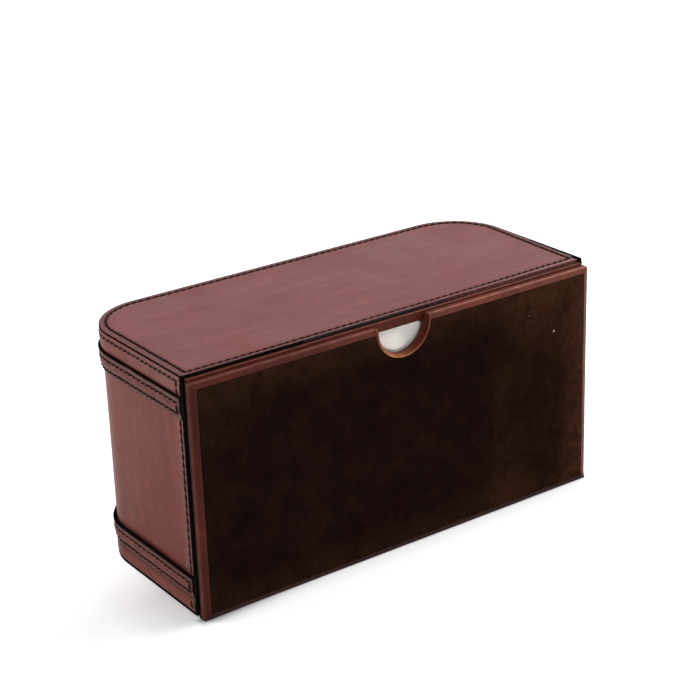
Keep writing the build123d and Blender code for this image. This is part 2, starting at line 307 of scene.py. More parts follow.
# The plain materials: one noise shows in the relief and, unless another is given, in the tones.
# Noises are scale, detail, roughness and distortion; tones are low, high, strength, colour, noise.
plainLooks = {
    # black edge paint, thick, matt and a little lumpy; also the painted shade on the drawer front's sides and
    # the binding's sides in the gap at the mouth
    "edgePaintAndShade": {
        "relief": (320.0, 3.0),
        "bump": (0.4, 0.0002),
        "colour": (12, 9, 8),
        "tones": ((0.3, 0.7, 1.0, (22, 16, 14), None),),
        "values": {"Roughness": 0.5, "Specular IOR Level": 0.0},
    },
    "waxedThread": {
        "relief": (2400.0, 2.0, 0.6),
        "bump": (0.4, 0.0001),
        "colour": (19, 11, 9),
        "tones": ((0.35, 0.7, 1.0, (34, 20, 16), None),),
        "values": {"Roughness": 0.7, "Specular IOR Level": 0.08},
    },
    # dense fibreboard, speckled with its fibres
    "fibreBoard": {
        "relief": (700.0, 4.0, 0.7, 1.5),
        "bump": (0.4, 0.0002),
        "colour": (120, 88, 60),
        "tones": ((0.35, 0.7, 1.0, (154, 120, 84), None), (0.3, 0.8, 0.4, (104, 74, 50), (40.0, 3.0))),
        "values": {"Roughness": 0.85},
    },
    # soft white paper: creped, matt, a little translucent
    "tissuePaper": {
        "relief": (900.0, 3.0, 0.6),
        "stretch": (1.0, 1.0, 0.25),
        "bump": (0.35, 0.0003),
        "colour": (246, 240, 235),
        "tones": ((0.3, 0.7, 1.0, (241, 235, 230), (30.0, 2.0)),),
        "values": {"Roughness": 0.95, "Specular IOR Level": 0.2, "Subsurface Weight": 0.15,
                   "Subsurface Radius": (0.002, 0.002, 0.002)},
    },
}


def plainMaterial(name):
    look = plainLooks[name]
    material, tree, shader, place = newMaterial(name)
    under = stretched(tree, place, look["stretch"]) if "stretch" in look else place
    relief = noiseAt(tree, under, *look["relief"])
    colour = srgb(look["colour"])
    for low, high, most, tone, clouds in look["tones"]:
        shown = noiseAt(tree, place, *clouds) if clouds else relief
        colour = tintBy(tree, colour, tone, shown, low, high, most)
    normal = bump(tree, *look["bump"], relief)
    setInputs(tree, shader, {"Base Color": colour, "Normal": normal, **look["values"]})
    return material


darkSuede = suedeMaterial()
edgePaintAndShade, waxedThread, fibreBoard, tissuePaper = (plainMaterial(name) for name in plainLooks)
print("materials made")


# Mesh helpers
def addObject(name, data):
    made = bpy.data.objects.new(name, data)
    bpy.context.scene.collection.objects.link(made)
    return made


def buildPiece(name, rows, faces, material, sharp=60, outwards=True):
    # A mesh piece at the origin. Each row is a point, and for leather also how much of the black (edge paint,
    # and painted shade in gaps), of the painted crease shade and of the painted highlight shows there.
    mesh = bpy.data.meshes.new(name)
    mesh.from_pydata([tuple(row[0]) for row in rows], [], faces)
    shades = dict(zip(("paintAndShade", "creaseShade", "paintedHighlight"), list(zip(*rows))[1:]))
    for label, values in shades.items():
        mesh.attributes.new(label, "FLOAT", "POINT").data.foreach_set("value", values)
    if outwards:
        shell = bmesh.new()
        shell.from_mesh(mesh)
        bmesh.ops.recalc_face_normals(shell, faces=shell.faces)
        shell.to_mesh(mesh)
        shell.free()
    mesh.materials.append(material)
    # faces that are black all over get the black material: edge paint and painted gap shade
    if any(shades.get("paintAndShade", ())):
        mesh.materials.append(edgePaintAndShade)
        for face in mesh.polygons:
            if min(shades["paintAndShade"][index] for index in face.vertices) > 0.9:
                face.material_index = 1
    mesh.shade_smooth()
    mesh.set_sharp_from_angle(angle=math.radians(sharp))
    return addObject(name, mesh)


def dress(piece, body, slot, *nodes):
    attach(piece, body)
    if nodes:
        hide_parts(*nodes)
    return piece


def bridgeRings(ringCount, ringSize, closed=True, loop=False, caps=False):
    # Four-sided faces between neighbouring rings of the same number of points.
    faces = []
    steps = ringSize if closed else ringSize - 1
    for ring in range(ringCount if loop else ringCount - 1):
        here = ring * ringSize
        there = ((ring + 1) % ringCount) * ringSize
        for step in range(steps):
            after = (step + 1) % ringSize
            faces.append((here + step, here + after, there + after, there + step))
    if caps:
        faces.append(tuple(range(ringSize)))
        faces.append(tuple(range((ringCount - 1) * ringSize, ringCount * ringSize)))
    return faces


def loftPiece(name, rows, rings, material, home, sharp=60, **joining):
    # A piece made of rings that are bridged one to the next; home is its body, slot (not used) and nodes.
    faces = bridgeRings(rings, len(rows) // rings, **joining)
    return dress(buildPiece(name, rows, faces, material, sharp), *home)


def alongLine(start, end, count):
    # That many places, from the start to just before the end.
    (x, z), (endX, endZ) = start, end
    return [(x + (endX - x) * (step / count), z + (endZ - z) * (step / count)) for step in range(count)]


def alongArc(x, y, radius, fromAngle, toAngle, count):
    angles = [math.radians(fromAngle + (toAngle - fromAngle) * step / count) for step in range(count)]
    return [(x + radius * math.cos(angle), y + radius * math.sin(angle)) for angle in angles]


def frameRing(half, bottom, top, y, corner, steps=5):
    # A rounded rectangle, upright at y.
    ring = []
    for x, z, start in ((half - corner, bottom + corner, -90), (half - corner, top - corner, 0),
                        (corner - half, top - corner, 90), (corner - half, bottom + corner, 180)):
        for step in range(steps + 1):
            angle = math.radians(start + 90 * step / steps)
            ring.append(Vector((x + corner * math.cos(angle), y, z + corner * math.sin(angle))))
    return ring


def wallStation(distance):
    # A place on the case's outline, from its front left edge round the back to its front right
    # edge: x, y and the outward direction.
    half, radius, turn = case["half"], case["radius"], case["turn"]
    if distance <= case["side"]:
        return -half, case["front"] + distance, -1.0, 0.0
    distance -= case["side"]
    for middle, start, flat in ((radius - half, math.pi, case["rear"]), (half - radius, math.pi / 2, 0.0)):
        if distance <= case["arc"]:
            angle = start - distance / radius
            outX, outY = math.cos(angle), math.sin(angle)
            return middle + radius * outX, turn + radius * outY, outX, outY
        distance -= case["arc"]
        if distance <= flat:
            return middle + distance, case["back"], 0.0, 1.0
        distance -= flat
    return half, turn - distance, 1.0, 0.0


def wallPoint(distance, outwards, height):
    x, y, outX, outY = wallStation(distance)
    return Vector((x + outX * outwards, y + outY * outwards, height))


def wallFacing(distance, lift=0.0):
    return Vector((*wallStation(distance)[2:], lift))


def stationsAlong(spacing, fineEnds=(0.0, 0.12, 0.3, 0.55, 0.9)):
    # Distances along the outline, closer together at both front edges.
    near = [step * mm for step in fineEnds]
    far = [case["around"] - step for step in reversed(near)]
    start, stop = near[-1], far[0]
    count = round((stop - start) / spacing)
    return near + [start + (stop - start) * step / count for step in range(1, count)] + far


def fromFrontEdge(distance):
    return min(distance, case["around"] - distance)


# Stitches
stitching = {
    "pitch": 4.35 * mm,
    "length": 4.0 * mm,
    "thread": 1.25 * mm,
    "rise": 0.15 * mm,
    "dip": 0.5 * mm,
    "slant": math.radians(16),
    "wobble": math.radians(6),
    "sizes": (0.9, 1.08),
    "seed": 7,
}
stitchRows = []


def rowLengths(points):
    lengths = [0.0]
    for before, after in zip(points, points[1:]):
        lengths.append(lengths[-1] + (after - before).length)
    return lengths


def holeShare(length, total):
    # 1 at each needle hole of a row of that total length, 0 midway between two.
    pitch = total / max(1, round(total / stitching["pitch"]))
    return 0.5 + 0.5 * math.cos(2 * math.pi * length / pitch)


def drift(distance, row):
    # How far a hand-sewn row wanders up or down, in millimetres.
    return 0.28 * ripple(distance * 95, row * 7.3, 0.4) + 0.14 * ripple(distance * 260, row * 3.1, 2.4)


def sewRow(points, facings):
    # Adds one row of stitches; it starts and ends half a stitch in, where the first and last
    # stitch have their middles.
    lengths = rowLengths(points)
    count = max(1, round(lengths[-1] / stitching["pitch"]))
    margin = lengths[-1] / count / 2
    if count == 1:
        margin *= 0.98

    def at(length):
        for index in range(1, len(points)):
            before, after = lengths[index - 1], lengths[index]
            if after >= length:
                share = (length - before) / max(after - before, 1e-9)
                return tuple(run[index - 1].lerp(run[index], share) for run in (points, facings))
        return points[-1], facings[-1]

    inner = [(point, facing) for point, facing, length in zip(points, facings, lengths)
             if margin < length < lengths[-1] - margin]
    stitchRows.append((count, [at(margin)] + inner + [at(lengths[-1] - margin)]))


def newGeometryTree(name, settings):
    # A tree with its ends, a way to add nodes, and each setting's value by its socket's identifier.
    tree = bpy.data.node_groups.new(name, "GeometryNodeTree")
    for end in ("INPUT", "OUTPUT"):
        tree.interface.new_socket("Geometry", in_out=end, socket_type="NodeSocketGeometry")
    values = {}
    for label, (kind, value) in settings.items():
        socket = tree.interface.new_socket(label, in_out="INPUT", socket_type="NodeSocket" + kind)
        values[socket.identifier] = value

    def add(kind, inputs=None, output=0, **options):
        return addNode(tree, kind, inputs, **options).outputs[output]

    given, result = (tree.nodes.new("NodeGroup" + end) for end in ("Input", "Output"))
    return tree, given.outputs, result.inputs, add, values


def runGeometryTree(piece, tree, values):
    # The piece's mesh as the tree leaves it, with the modifier gone.
    modifier = piece.modifiers.new("shape", "NODES")
    modifier.node_group = tree
    for identifier, value in values.items():
        modifier[identifier] = value
    bpy.context.view_layer.update()
    depsgraph = bpy.context.evaluated_depsgraph_get()
    made = bpy.data.meshes.new_from_object(piece.evaluated_get(depsgraph), preserve_all_data_layers=True,
                                           depsgraph=depsgraph)
    piece.modifiers.remove(modifier)
    old = piece.data
    piece.data = made
    bpy.data.meshes.remove(old)
    made.name = piece.name
    return piece


def stitchTree():
    # Sews a thread along each chain of its object: the chain's points carry the surface's
    # direction (facing) and the number of stitches (stitches).
    labels = ("length", "thread", "rise", "dip", "slant", "wobble")
    settings = {label: ("Float", stitching[label]) for label in labels}
    settings.update(seed=("Int", stitching["seed"]), finish=("Material", waxedThread))
    tree, given, result, add, values = newGeometryTree("sewRows", settings)

    def number(operation, first, second):
        return combine(tree, operation, first, second)

    # one stitch: a bow that dips into the leather at both ends
    half = number("MULTIPLY", given["length"], 0.5)
    under = number("MULTIPLY", given["dip"], -1.0)
    over = number("ADD", number("MULTIPLY", given["rise"], 2.0), given["dip"])
    bow = add("GeometryNodeCurveQuadraticBezier", {
        "Resolution": 6,
        "Start": add("ShaderNodeCombineXYZ", {"X": number("MULTIPLY", half, -1.0), "Z": under}),
        "Middle": add("ShaderNodeCombineXYZ", {"Z": over}),
        "End": add("ShaderNodeCombineXYZ", {"X": half, "Z": under}),
    })
    ring = add("GeometryNodeCurvePrimitiveCircle",
               {"Resolution": 7, "Radius": number("MULTIPLY", given["thread"], 0.5)}, mode="RADIUS")
    thread = add("GeometryNodeCurveToMesh", {"Curve": bow, "Profile Curve": ring, "Fill Caps": True})

    # one place for each stitch, upright on the leather and a little aslant
    chain = add("GeometryNodeMeshToCurve", {"Mesh": given["Geometry"]})
    count = add("GeometryNodeInputNamedAttribute", {"Name": "stitches"}, data_type="INT")
    evenly = add("GeometryNodeResampleCurve", {"Curve": chain, "Count": count})
    facing = add("GeometryNodeInputNamedAttribute", {"Name": "facing"}, data_type="FLOAT_VECTOR")
    along = add("FunctionNodeAlignRotationToVector", {"Vector": add("GeometryNodeInputTangent")},
                axis="X", pivot_axis="AUTO")
    upright = add("FunctionNodeAlignRotationToVector", {"Rotation": along, "Vector": facing},
                  axis="Z", pivot_axis="X")
    back = number("MULTIPLY", given["wobble"], -1.0)
    wobble, size = (
        add("FunctionNodeRandomValue", {2: low, 3: high, "Seed": given["seed"]}, 1, data_type="FLOAT")
        for low, high in ((back, given["wobble"]), stitching["sizes"])
    )
    lean = add("FunctionNodeAxisAngleToRotation",
               {"Axis": (0.0, 0.0, 1.0), "Angle": number("ADD", given["slant"], wobble)})
    turned = add("FunctionNodeRotateRotation", {"Rotation": upright, "Rotate By": lean}, rotation_space="LOCAL")
    placed = add("GeometryNodeInstanceOnPoints", {
        "Points": evenly,
        "Instance": thread,
        "Rotation": turned,
        "Scale": add("ShaderNodeCombineXYZ", {"X": size, "Y": 1.0, "Z": 1.0}),
    })
    solid = add("GeometryNodeRealizeInstances", {"Geometry": placed})
    smooth = add("GeometryNodeSetShadeSmooth", {"Geometry": solid})
    tree.links.new(add("GeometryNodeSetMaterial", {"Geometry": smooth, "Material": given["finish"]}), result[0])
    return tree, values


def caseStitchesPiece():
    points, edges, facings, counts = [], [], [], []
    for count, row in stitchRows:
        start = len(points)
        for point, facing in row:
            points.append(tuple(point))
            facings.extend(facing.normalized())
            counts.append(count)
        edges.extend((index, index + 1) for index in range(start, len(points) - 1))
    mesh = bpy.data.meshes.new("caseStitches")
    mesh.from_pydata(points, edges, [])
    mesh.attributes.new("facing", "FLOAT_VECTOR", "POINT").data.foreach_set("vector", facings)
    mesh.attributes.new("stitches", "INT", "POINT").data.foreach_set("value", counts)
    piece = addObject("caseStitches", mesh)
    runGeometryTree(piece, *stitchTree())
    print("caseStitches sewn:", sum(count for count, row in stitchRows), "stitches")
    return dress(piece, "case", "thread")


# The top and the base: thick leather plates, stitched all round
plate = {
    "sideSteps": 96,
    "arcSteps": 62,
    "rearSteps": 262,
    "frontSteps": 354,
    "cornerSteps": 6,
    "corners": (1.7 * mm, 0.9 * mm),
    "sideThickness": 1.15 * mm,
    "sewSide": 4.4 * mm,
    "sewFront": 2.35 * mm,
    "pucker": 0.132 * mm,
    "wave": (0.14 * mm, 0.05 * mm),
    "threadDepth": (0.18 * mm, 0.6 * mm),
    # side inset, front inset and depth in millimetres, then edge paint and painted crease shade: from the
    # hidden side round the painted edge to the middle of the good side
    "rings": (
        (14.0, 14.0, 2.0, 0, 0), (1.05, 1.0, 2.0, 0, 0), (1.05, 0.12, 2.0, 1, 0), (1.05, 0.0, 1.8, 1, 0),
        (1.0, 0.0, 1.25, 1, 0), (0.12, 0.0, 1.2, 1, 0), (0.0, -0.04, 1.05, 1, 0), (-0.04, -0.05, 0.7, 1, 0),
        (0.05, 0.04, 0.34, 1, 0), (0.22, 0.18, 0.12, 1, 0), (0.5, 0.5, 0.02, 0.3, 0), (0.9, 0.9, -0.02, 0, 0),
        (1.8, 1.25, -0.04, 0, 0), (2.9, 1.4, -0.02, 0, 0), (3.4, 1.55, 0.02, 0, 0.15),
        (3.75, 1.75, 0.13, 0, 0.75), (4.05, 2.0, 0.26, 0, 1), (4.4, 2.35, 0.3, 0, 1),
        (4.75, 2.7, 0.26, 0, 1), (5.05, 2.95, 0.13, 0, 0.75),
        (5.5, 3.3, 0.02, 0, 0.15), (6.2, 4.1, -0.06, 0, 0), (7.6, 5.8, -0.11, 0, 0), (11.0, 9.0, -0.01, 0, 0),
        (16.0, 14.0, 0.0, 0, 0), (23.0, 21.0, 0.0, 0, 0), (31.0, 29.0, 0.0, 0, 0), (42.0, 40.0, 0.0, 0, 0),
    ),
}


def rowShift(point):
    # The hand-cut stitch line runs further in beside the right front corner and nearer to the
    # edge round the left back corner.
    right = clamp((point.x - 100 * mm) / (20 * mm)) * clamp((25 * mm - point.y) / (65 * mm))
    lift = clamp((point.x - 50 * mm) / (70 * mm)) * clamp((-30 * mm - point.y) / (14 * mm))
    turn = bell(math.hypot(point.x + 118 * mm, point.y - 44 * mm), 0.0, 24 * mm)
    return Vector((-1.8 * right - 0.65 * turn, 1.5 * lift + 0.65 * turn, 0.0)) * mm


def plateRing(sideInset, frontInset):
    # One closed ring of the D, with its points in the same order for every inset.
    half = case["half"] - sideInset
    back = case["back"] - sideInset
    radius = max(case["radius"] - sideInset, 0.2 * mm)
    front = case["front"] + frontInset
    left, right = (max(size - sideInset, 0.12 * mm) for size in plate["corners"])
    turn = back - radius
    ring = alongLine((-half, front + left), (-half, turn), plate["sideSteps"])
    ring += alongArc(radius - half, turn, radius, 180, 90, plate["arcSteps"])
    ring += alongLine((radius - half, back), (half - radius, back), plate["rearSteps"])
    ring += alongArc(half - radius, turn, radius, 90, 0, plate["arcSteps"])
    ring += alongLine((half, turn), (half, front + right), plate["sideSteps"])
    ring += alongArc(half - right, front + right, right, 0, -90, plate["cornerSteps"])
    ring += alongLine((half - right, front), (left - half, front), plate["frontSteps"])
    ring += alongArc(left - half, front + left, left, -90, -180, plate["cornerSteps"])
    return [Vector((x, y, 0.0)) for x, y in ring]


def rimWear(point, side):
    # Paint that has spread in from the right rim, more of it towards the front.
    near = clamp((8 * mm - point.y) / (16 * mm))
    close = clamp((case["front"] + 26 * mm - point.y) / (26 * mm))
    beside = point.x > case["half"] - 4.2 * mm
    return min(1.0, 4 * near) if beside and side < 0.95 + 0.9 * near + 1.3 * close else 0.0


def leatherPlate(name, material, surface, up, edgeInset, node):
    # surface is the height of its good side and up says which way that faces (1 or -1).
    wave, threadDepth = (plate[label][0 if up > 0 else 1] for label in ("wave", "threadDepth"))
    sewn = plateRing(edgeInset + plate["sewSide"], edgeInset + plate["sewFront"])
    sewn = [point + rowShift(point) for point in sewn]
    size = len(sewn)
    frontStart = size - plate["frontSteps"] - plate["cornerSteps"]
    seams = (sewn[:frontStart], sewn[frontStart:frontStart + plate["frontSteps"] + 1])
    holes = []
    for seam in seams:
        lengths = rowLengths(seam)
        holes.extend(holeShare(length, lengths[-1]) for length in lengths)
    holes += [1.0] * (size - len(holes))
    rows = []
    for side, front, depth, blackened, creaseShaded in plate["rings"]:
        near = bell(side, plate["sewSide"] / mm, 2.2)
        for index, point in enumerate(plateRing(edgeInset + side * mm, edgeInset + front * mm)):
            sink = depth * mm + plate["pucker"] * creaseShaded * holes[index]
            if side > 1.5:
                sink -= wave * ripple(point.x * 28, point.y * 28, surface * 90)
            place = Vector((point.x, point.y, surface - up * sink)) + rowShift(point) * near
            # The side margins are darker. On the front, the painted highlight along the margin grows towards
            # the right, where more light falls, and the black of the edge thins there; the row's groove gets
            # painted shade.
            if index < frontStart:
                shades = blackened, max(creaseShaded, 0.42 if 0.5 < side < 3.4 else 0.0), 0.0
            else:
                rightLit = rightLitShare(point.x)
                creaseShaded = max(creaseShaded, 0.8 * blackened)  # the painted front edge puckers as well
                shades = (blackened * (0.45 if 0.2 < side < 1.0 else 1.0) * (1 - 0.58 * rightLit),
                          creaseShaded * (0.35 + 0.65 * holes[index]),
                          (0.2 + 0.3 * rightLit) * bell(side, 1.8, 0.9) if side > 0.4 else 0.0)
            rows.append((place, max(shades[0], rimWear(point, side)), *shades[1:]))
    for seam in seams:
        line = [Vector((point.x, point.y, surface - up * threadDepth)) for point in seam]
        sewRow(line, [Vector((0, 0, up))] * len(line))
    return loftPiece(name, rows, len(plate["rings"]), material, ("case", "cover_leather", node), caps=True)


leatherPlate("topLeather", topLeather, case["top"], 1, 0.0, "top_leather")
leatherPlate("baseLeather", coverLeather, 0.25 * mm, -1, 0.3 * mm, "base_leather")
print("top and base leather made")

# Strips that go round the wall
collar = {
    "top": case["top"] - plate["sideThickness"],
    "bottom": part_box("top_collar")[0].z,
    "back": -0.98 * mm,
    "sewDrop": 3.9 * mm,
    "sewFromFront": 4.2 * mm,
    "cornerRound": (2.8 * mm, 1.0 * mm),
    "edgeRound": 0.5 * mm,
    "paintAndShade": 1.0 * mm,
    "groove": 0.34 * mm,
    "grooveAt": (2.75, 0.55),  # how far down it runs and its width, in millimetres
    "endGroove": 0.25 * mm,
    "highlight": (0.22, 50 * mm),  # painted highlight at the front edge, and how far in it reaches
    "height": 10.4,
    # drop below the top edge and distance outwards, in millimetres
    "profile": (
        (0.0, -0.4), (0.08, -0.1), (0.25, 0.03), (0.6, 0.1), (1.1, 0.12), (1.7, 0.1), (2.2, 0.0), (2.5, -0.15),
        (2.75, -0.32), (3.0, -0.15), (3.3, 0.05), (3.8, 0.14), (4.6, 0.2), (5.8, 0.24), (7.2, 0.2), (8.6, 0.08),
        (9.6, -0.1), (10.2, -0.3), (10.4, -0.45),
    ),
}
band = {
    "height": 13.0 * mm,
    "base": -1.0 * mm,
    "rows": (3.7, 9.5),
    "proud": (0.42 * mm, 0.1 * mm),
    "sewFromFront": 3.2 * mm,
    "edgeRound": 0.7 * mm,
    "paintAndShade": 1.5 * mm,
    "pucker": 0.6 * mm,
    # depth in millimetres, then how fast the noise runs along, across and from strap to strap
    "waves": ((0.26, 70, 0.35, 50), (0.18, 210, 0.8, 70)),
    "mottle": (0.42, 130, 0.6, 90),  # the same for its dark mottle, painted shade between the lumps
    "endShade": 0.5,
    "rowWidths": (0.6, 0.65),
    "scallop": (11.4, 1.1),  # where the skirt is drawn in below each stitch, and how wide
    "sideGroove": 0.3 * mm,
    # drop below the top edge and distance outwards, in millimetres
    "profile": (
        (0.0, 0.7), (0.1, 1.0), (0.35, 1.16), (0.9, 1.22), (1.6, 1.16), (2.4, 1.0), (3.0, 0.8), (3.35, 0.55),
        (3.7, 0.3), (4.05, 0.5), (4.5, 0.75), (5.3, 0.98), (6.4, 1.05), (7.5, 0.92), (8.4, 0.66), (9.0, 0.36),
        (9.5, 0.02), (10.0, 0.2), (10.6, 0.22), (11.5, 0.02), (12.4, -0.4), (13.0, -0.85),
    ),
}
baseStrip = {
    "top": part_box("base_strip")[1].z + 0.3 * mm,
    "bottom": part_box("base_strip")[0].z - 0.15 * mm,
    "back": -0.98 * mm,
    "edgeRound": 0.5 * mm,
    "paintAndShade": 1.4 * mm,
    # share of its height, distance outwards in millimetres, painted crease shade
    "profile": ((0, -0.7, 1), (0.06, -0.45, 0.7), (0.18, -0.2, 0.2), (0.4, -0.02, 0), (0.65, 0.02, 0),
                (0.85, -0.12, 0.1), (0.96, -0.35, 0.5), (1.0, -0.55, 0.9)),
}
fineStations = stationsAlong(0.74 * mm)
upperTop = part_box("upper_band")[1].z
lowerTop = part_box("lower_band")[1].z
collarRowHeight = case["top"] - collar["sewDrop"]


def fallBack(gap, radius):
    # How far an edge of that radius is rounded away at that distance from it.
    return radius - math.sqrt(max(radius ** 2 - (radius - gap) ** 2, 0.0)) if gap < radius else 0.0


def stripEnd(distance, strip):
    # How near the front a place is, how far its strip is rounded away there, and its black: edge paint,
    # reaching far enough to also stand for painted shade in the gap at the mouth.
    gap = fromFrontEdge(distance)
    return gap, fallBack(gap, strip["edgeRound"]), 1.0 if gap < strip["paintAndShade"] else 0.0


def sweepStrip(name, stations, section, node):
    # A closed section carried round the wall: section(distance) lists points as (outwards, height, black of
    # paint and painted shade, painted crease shade, painted highlight), always the same number.
    rows = [(wallPoint(distance, outwards, height), *shades) for distance in stations
            for outwards, height, *shades in section(distance)]
    return loftPiece(name, rows, len(stations), coverLeather, ("case", "cover_leather", node), 55, caps=True)


def collarSection(distance):
    # Outer face from the top edge down, then the hidden back.
    gap, fall, blackened = stripEnd(distance, collar)
    (grooveDrop, grooveWidth), (highlight, highlightReach) = collar["grooveAt"], collar["highlight"]
    top = collar["top"] - fallBack(gap, collar["cornerRound"][distance > case["around"] / 2])
    loop = []
    for drop, offset in collar["profile"]:
        height = top - drop / collar["height"] * (top - collar["bottom"])
        below = case["top"] - height > collar["sewDrop"]
        along = bell(gap, collar["sewFromFront"], 0.45 * mm) if below else 0.0
        sewn = gap > collar["sewFromFront"]
        groove = bell(drop, grooveDrop + drift(distance, 1), grooveWidth) if sewn else 0.0
        # painted shade in the stitch grooves and along the lower edge, where the strap below meets it
        creaseShaded = max(groove, along, 0.8 * bell(drop, collar["height"], 0.5))
        outwards = offset * mm - fall - collar["endGroove"] * along
        loop.append((outwards, height, blackened, creaseShaded, highlight * bell(gap, 0.0, highlightReach)))
    return loop + [(collar["back"], collar["bottom"], 0, 0, 0), (collar["back"], top, blackened, 0, 0)]


def strapPiece(name, top, shadow, node):
    # A padded strap: a thick painted top edge, two rows of stitches that pinch it, and a skirt
    # pared down to the wall.
    inner = [distance for distance in fineStations if fromFrontEdge(distance) >= band["sewFromFront"]]
    seams = []
    for row, (drop, proud) in enumerate(zip(band["rows"], band["proud"])):
        seams.append([wallPoint(distance, proud, top - (drop + drift(distance, row + top * 90)) * mm)
                      for distance in inner])
    lengths = rowLengths(seams[0])
    holeAt = {distance: holeShare(length, lengths[-1]) for distance, length in zip(inner, lengths)}

    def section(distance):
        gap, fall, atEnd = stripEnd(distance, band)
        hole = holeAt.get(distance, 0.0)
        sewn = gap >= band["sewFromFront"] - 0.4 * mm
        upperWidth, lowerWidth = band["rowWidths"]
        mottle, mottleAlong, mottleAcross, mottleSeed = band["mottle"]
        upperRow, lowerRow = (drop + drift(distance, row + top * 90) for row, drop in enumerate(band["rows"]))
        loop = []
        for drop, proud in band["profile"]:
            upper, lower = bell(drop, upperRow, upperWidth), bell(drop, lowerRow, lowerWidth)
            pinch = (upper + lower) * (1.0 if sewn else 0.25)
            flat = 0.0 if sewn else (upper * 0.5 + lower * 0.4) * mm
            wander = sum(depth * mm * ripple(distance * along, drop * across, top * seed)
                         for depth, along, across, seed in band["waves"])
            between = band["rows"][0] < drop < band["rows"][1]
            side = bell(gap, band["sewFromFront"], 0.5 * mm) if between else 0.0
            scallop = hole * bell(drop, *band["scallop"])
            outwards = proud * mm - fall - band["pucker"] * pinch * hole + flat + wander
            outwards -= band["sideGroove"] * (side + scallop)
            # the pinched lumps get a dark mottle of painted shade, and the ends beside the mouth are darker
            shade = shadow + mottle * ripple(distance * mottleAlong, drop * mottleAcross, top * mottleSeed)
            if gap < band["sewFromFront"]:
                shade += band["endShade"]
            creaseShaded = max(pinch * 0.9, side, bell(drop, 13.0, 0.7), shade, 0.55 * bell(drop, 0.9, 0.5),
                          0.5 * scallop)
            blackened = 1.0 if drop < 0.5 else atEnd
            loop.append((max(outwards, band["base"] + 0.02 * mm), top - drop * mm, blackened, creaseShaded, 0.0))
        return loop + [(band["base"], top - band["height"], 0, 0, 0), (band["base"], top, 1, 0, 0)]

    piece = sweepStrip(name, fineStations, section, node)
    for seam in seams:
        sewRow(seam, [wallFacing(distance, 0.15) for distance in inner])
    high, low = (drop * mm for drop in band["rows"])
    for distance in (inner[0], inner[-1]):
        ends = [wallPoint(distance, proud, top - drop) for drop, proud in
                ((high, band["proud"][0]), ((high + low) / 2, 0.75 * mm), (low, band["proud"][1]))]
        sewRow(ends, [wallFacing(distance)] * 3)
    return piece


def baseStripSection(distance):
    fall, blackened = stripEnd(distance, baseStrip)[1:]
    top, bottom, back = baseStrip["top"], baseStrip["bottom"], baseStrip["back"]
    loop = [(offset * mm - fall, top + (bottom - top) * share, blackened, creaseShaded, 0)
            for share, offset, creaseShaded in baseStrip["profile"]]
    return loop + [(back, bottom, 0, 0, 0), (back, top, 0, 0, 0)]


sweepStrip("topCollar", fineStations, collarSection, "top_collar")
collarSewn = [distance for distance in fineStations if fromFrontEdge(distance) >= collar["sewFromFront"]]
sewRow([wallPoint(distance, 0.14 * mm - collar["groove"], collarRowHeight - drift(distance, 1) * mm)
        for distance in collarSewn], [wallFacing(distance) for distance in collarSewn])
strapPiece("upperBand", upperTop, 0.24, "upper_band")
strapPiece("lowerBand", lowerTop, 0.12, "lower_band")
sweepStrip("baseStrip", stationsAlong(2.2 * mm), baseStripSection, "base_strip")
print("collar, straps and base strip made")

# The wall's leather, with the tissue slot in its back
slotLow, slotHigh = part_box("slot_edging")
slotPiece = {
    "centre": (slotLow.z + slotHigh.z) / 2,
    "lip": 4.4 * mm,
    "inside": slotLow.y,
    "outside": slotHigh.y,
    "sleeve": 1.4 * mm,
    "seam": 2.55 * mm,
    "steps": (60, 40),
}
slotPiece["halfHeight"] = (slotHigh.z - slotLow.z) / 2 - slotPiece["lip"]
slotPiece["straight"] = slotHigh.x - slotPiece["lip"] - slotPiece["halfHeight"]

wall = {
    "inset": 1.0 * mm,
    "thickness": 1.55 * mm,
    "bottom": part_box("wall_leather")[0].z,
    "top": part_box("wall_leather")[1].z,
    "sewFromFront": 4.2 * mm,
    # black from the front edge: edge paint, reaching further to stand for painted shade in the gap behind the
    # drawer front
    "paintAndShade": 2.4 * mm,
    "rowStep": 2.6 * mm,
    "sideStep": 2.2 * mm,
    "across": 84,
    "wave": 0.28 * mm,
    "groove": (0.32 * mm, 0.5 * mm),  # depth and width along the front stitches
    "roll": (0.4 * mm, 2.6 * mm),  # how far the front edge goes back, and over what width
    # painted highlight beside the mouth: strength, distance from the front edge and width (millimetres)
    "mouthHighlight": ((0.34, 3.0, 1.1), (0.2, 6.5, 3.0)),
    # painted light round the turn: strength, and where its ramp starts and how wide it is (millimetres)
    "turnHighlight": (0.16, 50, 35),
}


def wallRow(distance, height):
    # The wall's own surface: soft waves, a groove along the front stitches and an edge that rounds back to the
    # front. A painted highlight lies beside the mouth, and painted light makes it paler round the turn.
    gap = fromFrontEdge(distance)
    wave = wall["wave"] * ripple(distance * 22, height * 16, 3.1) * min(1.0, gap / (12 * mm))
    (grooveDepth, grooveWidth), (rollDepth, rollWidth) = wall["groove"], wall["roll"]
    groove = grooveDepth * bell(gap, wall["sewFromFront"], grooveWidth)
    roll = rollDepth * max(0.0, 1 - gap / rollWidth) ** 2
    blackened = 1.0 if gap < wall["paintAndShade"] else 0.0
    # painted shade in the front stitch groove and where the lower strap's top edge meets the wall
    creaseShaded = max(bell(gap, wall["sewFromFront"], 0.45 * mm), 0.8 * bell(height, lowerTop, 0.8 * mm))
    highlighted = sum(share * bell(gap, middle * mm, width * mm) for share, middle, width in wall["mouthHighlight"])
    share, start, width = wall["turnHighlight"]
    highlighted += share * clamp((gap - start * mm) / (width * mm))
    return wallPoint(distance, wave - wall["inset"] - groove - roll, height), blackened, creaseShaded, highlighted


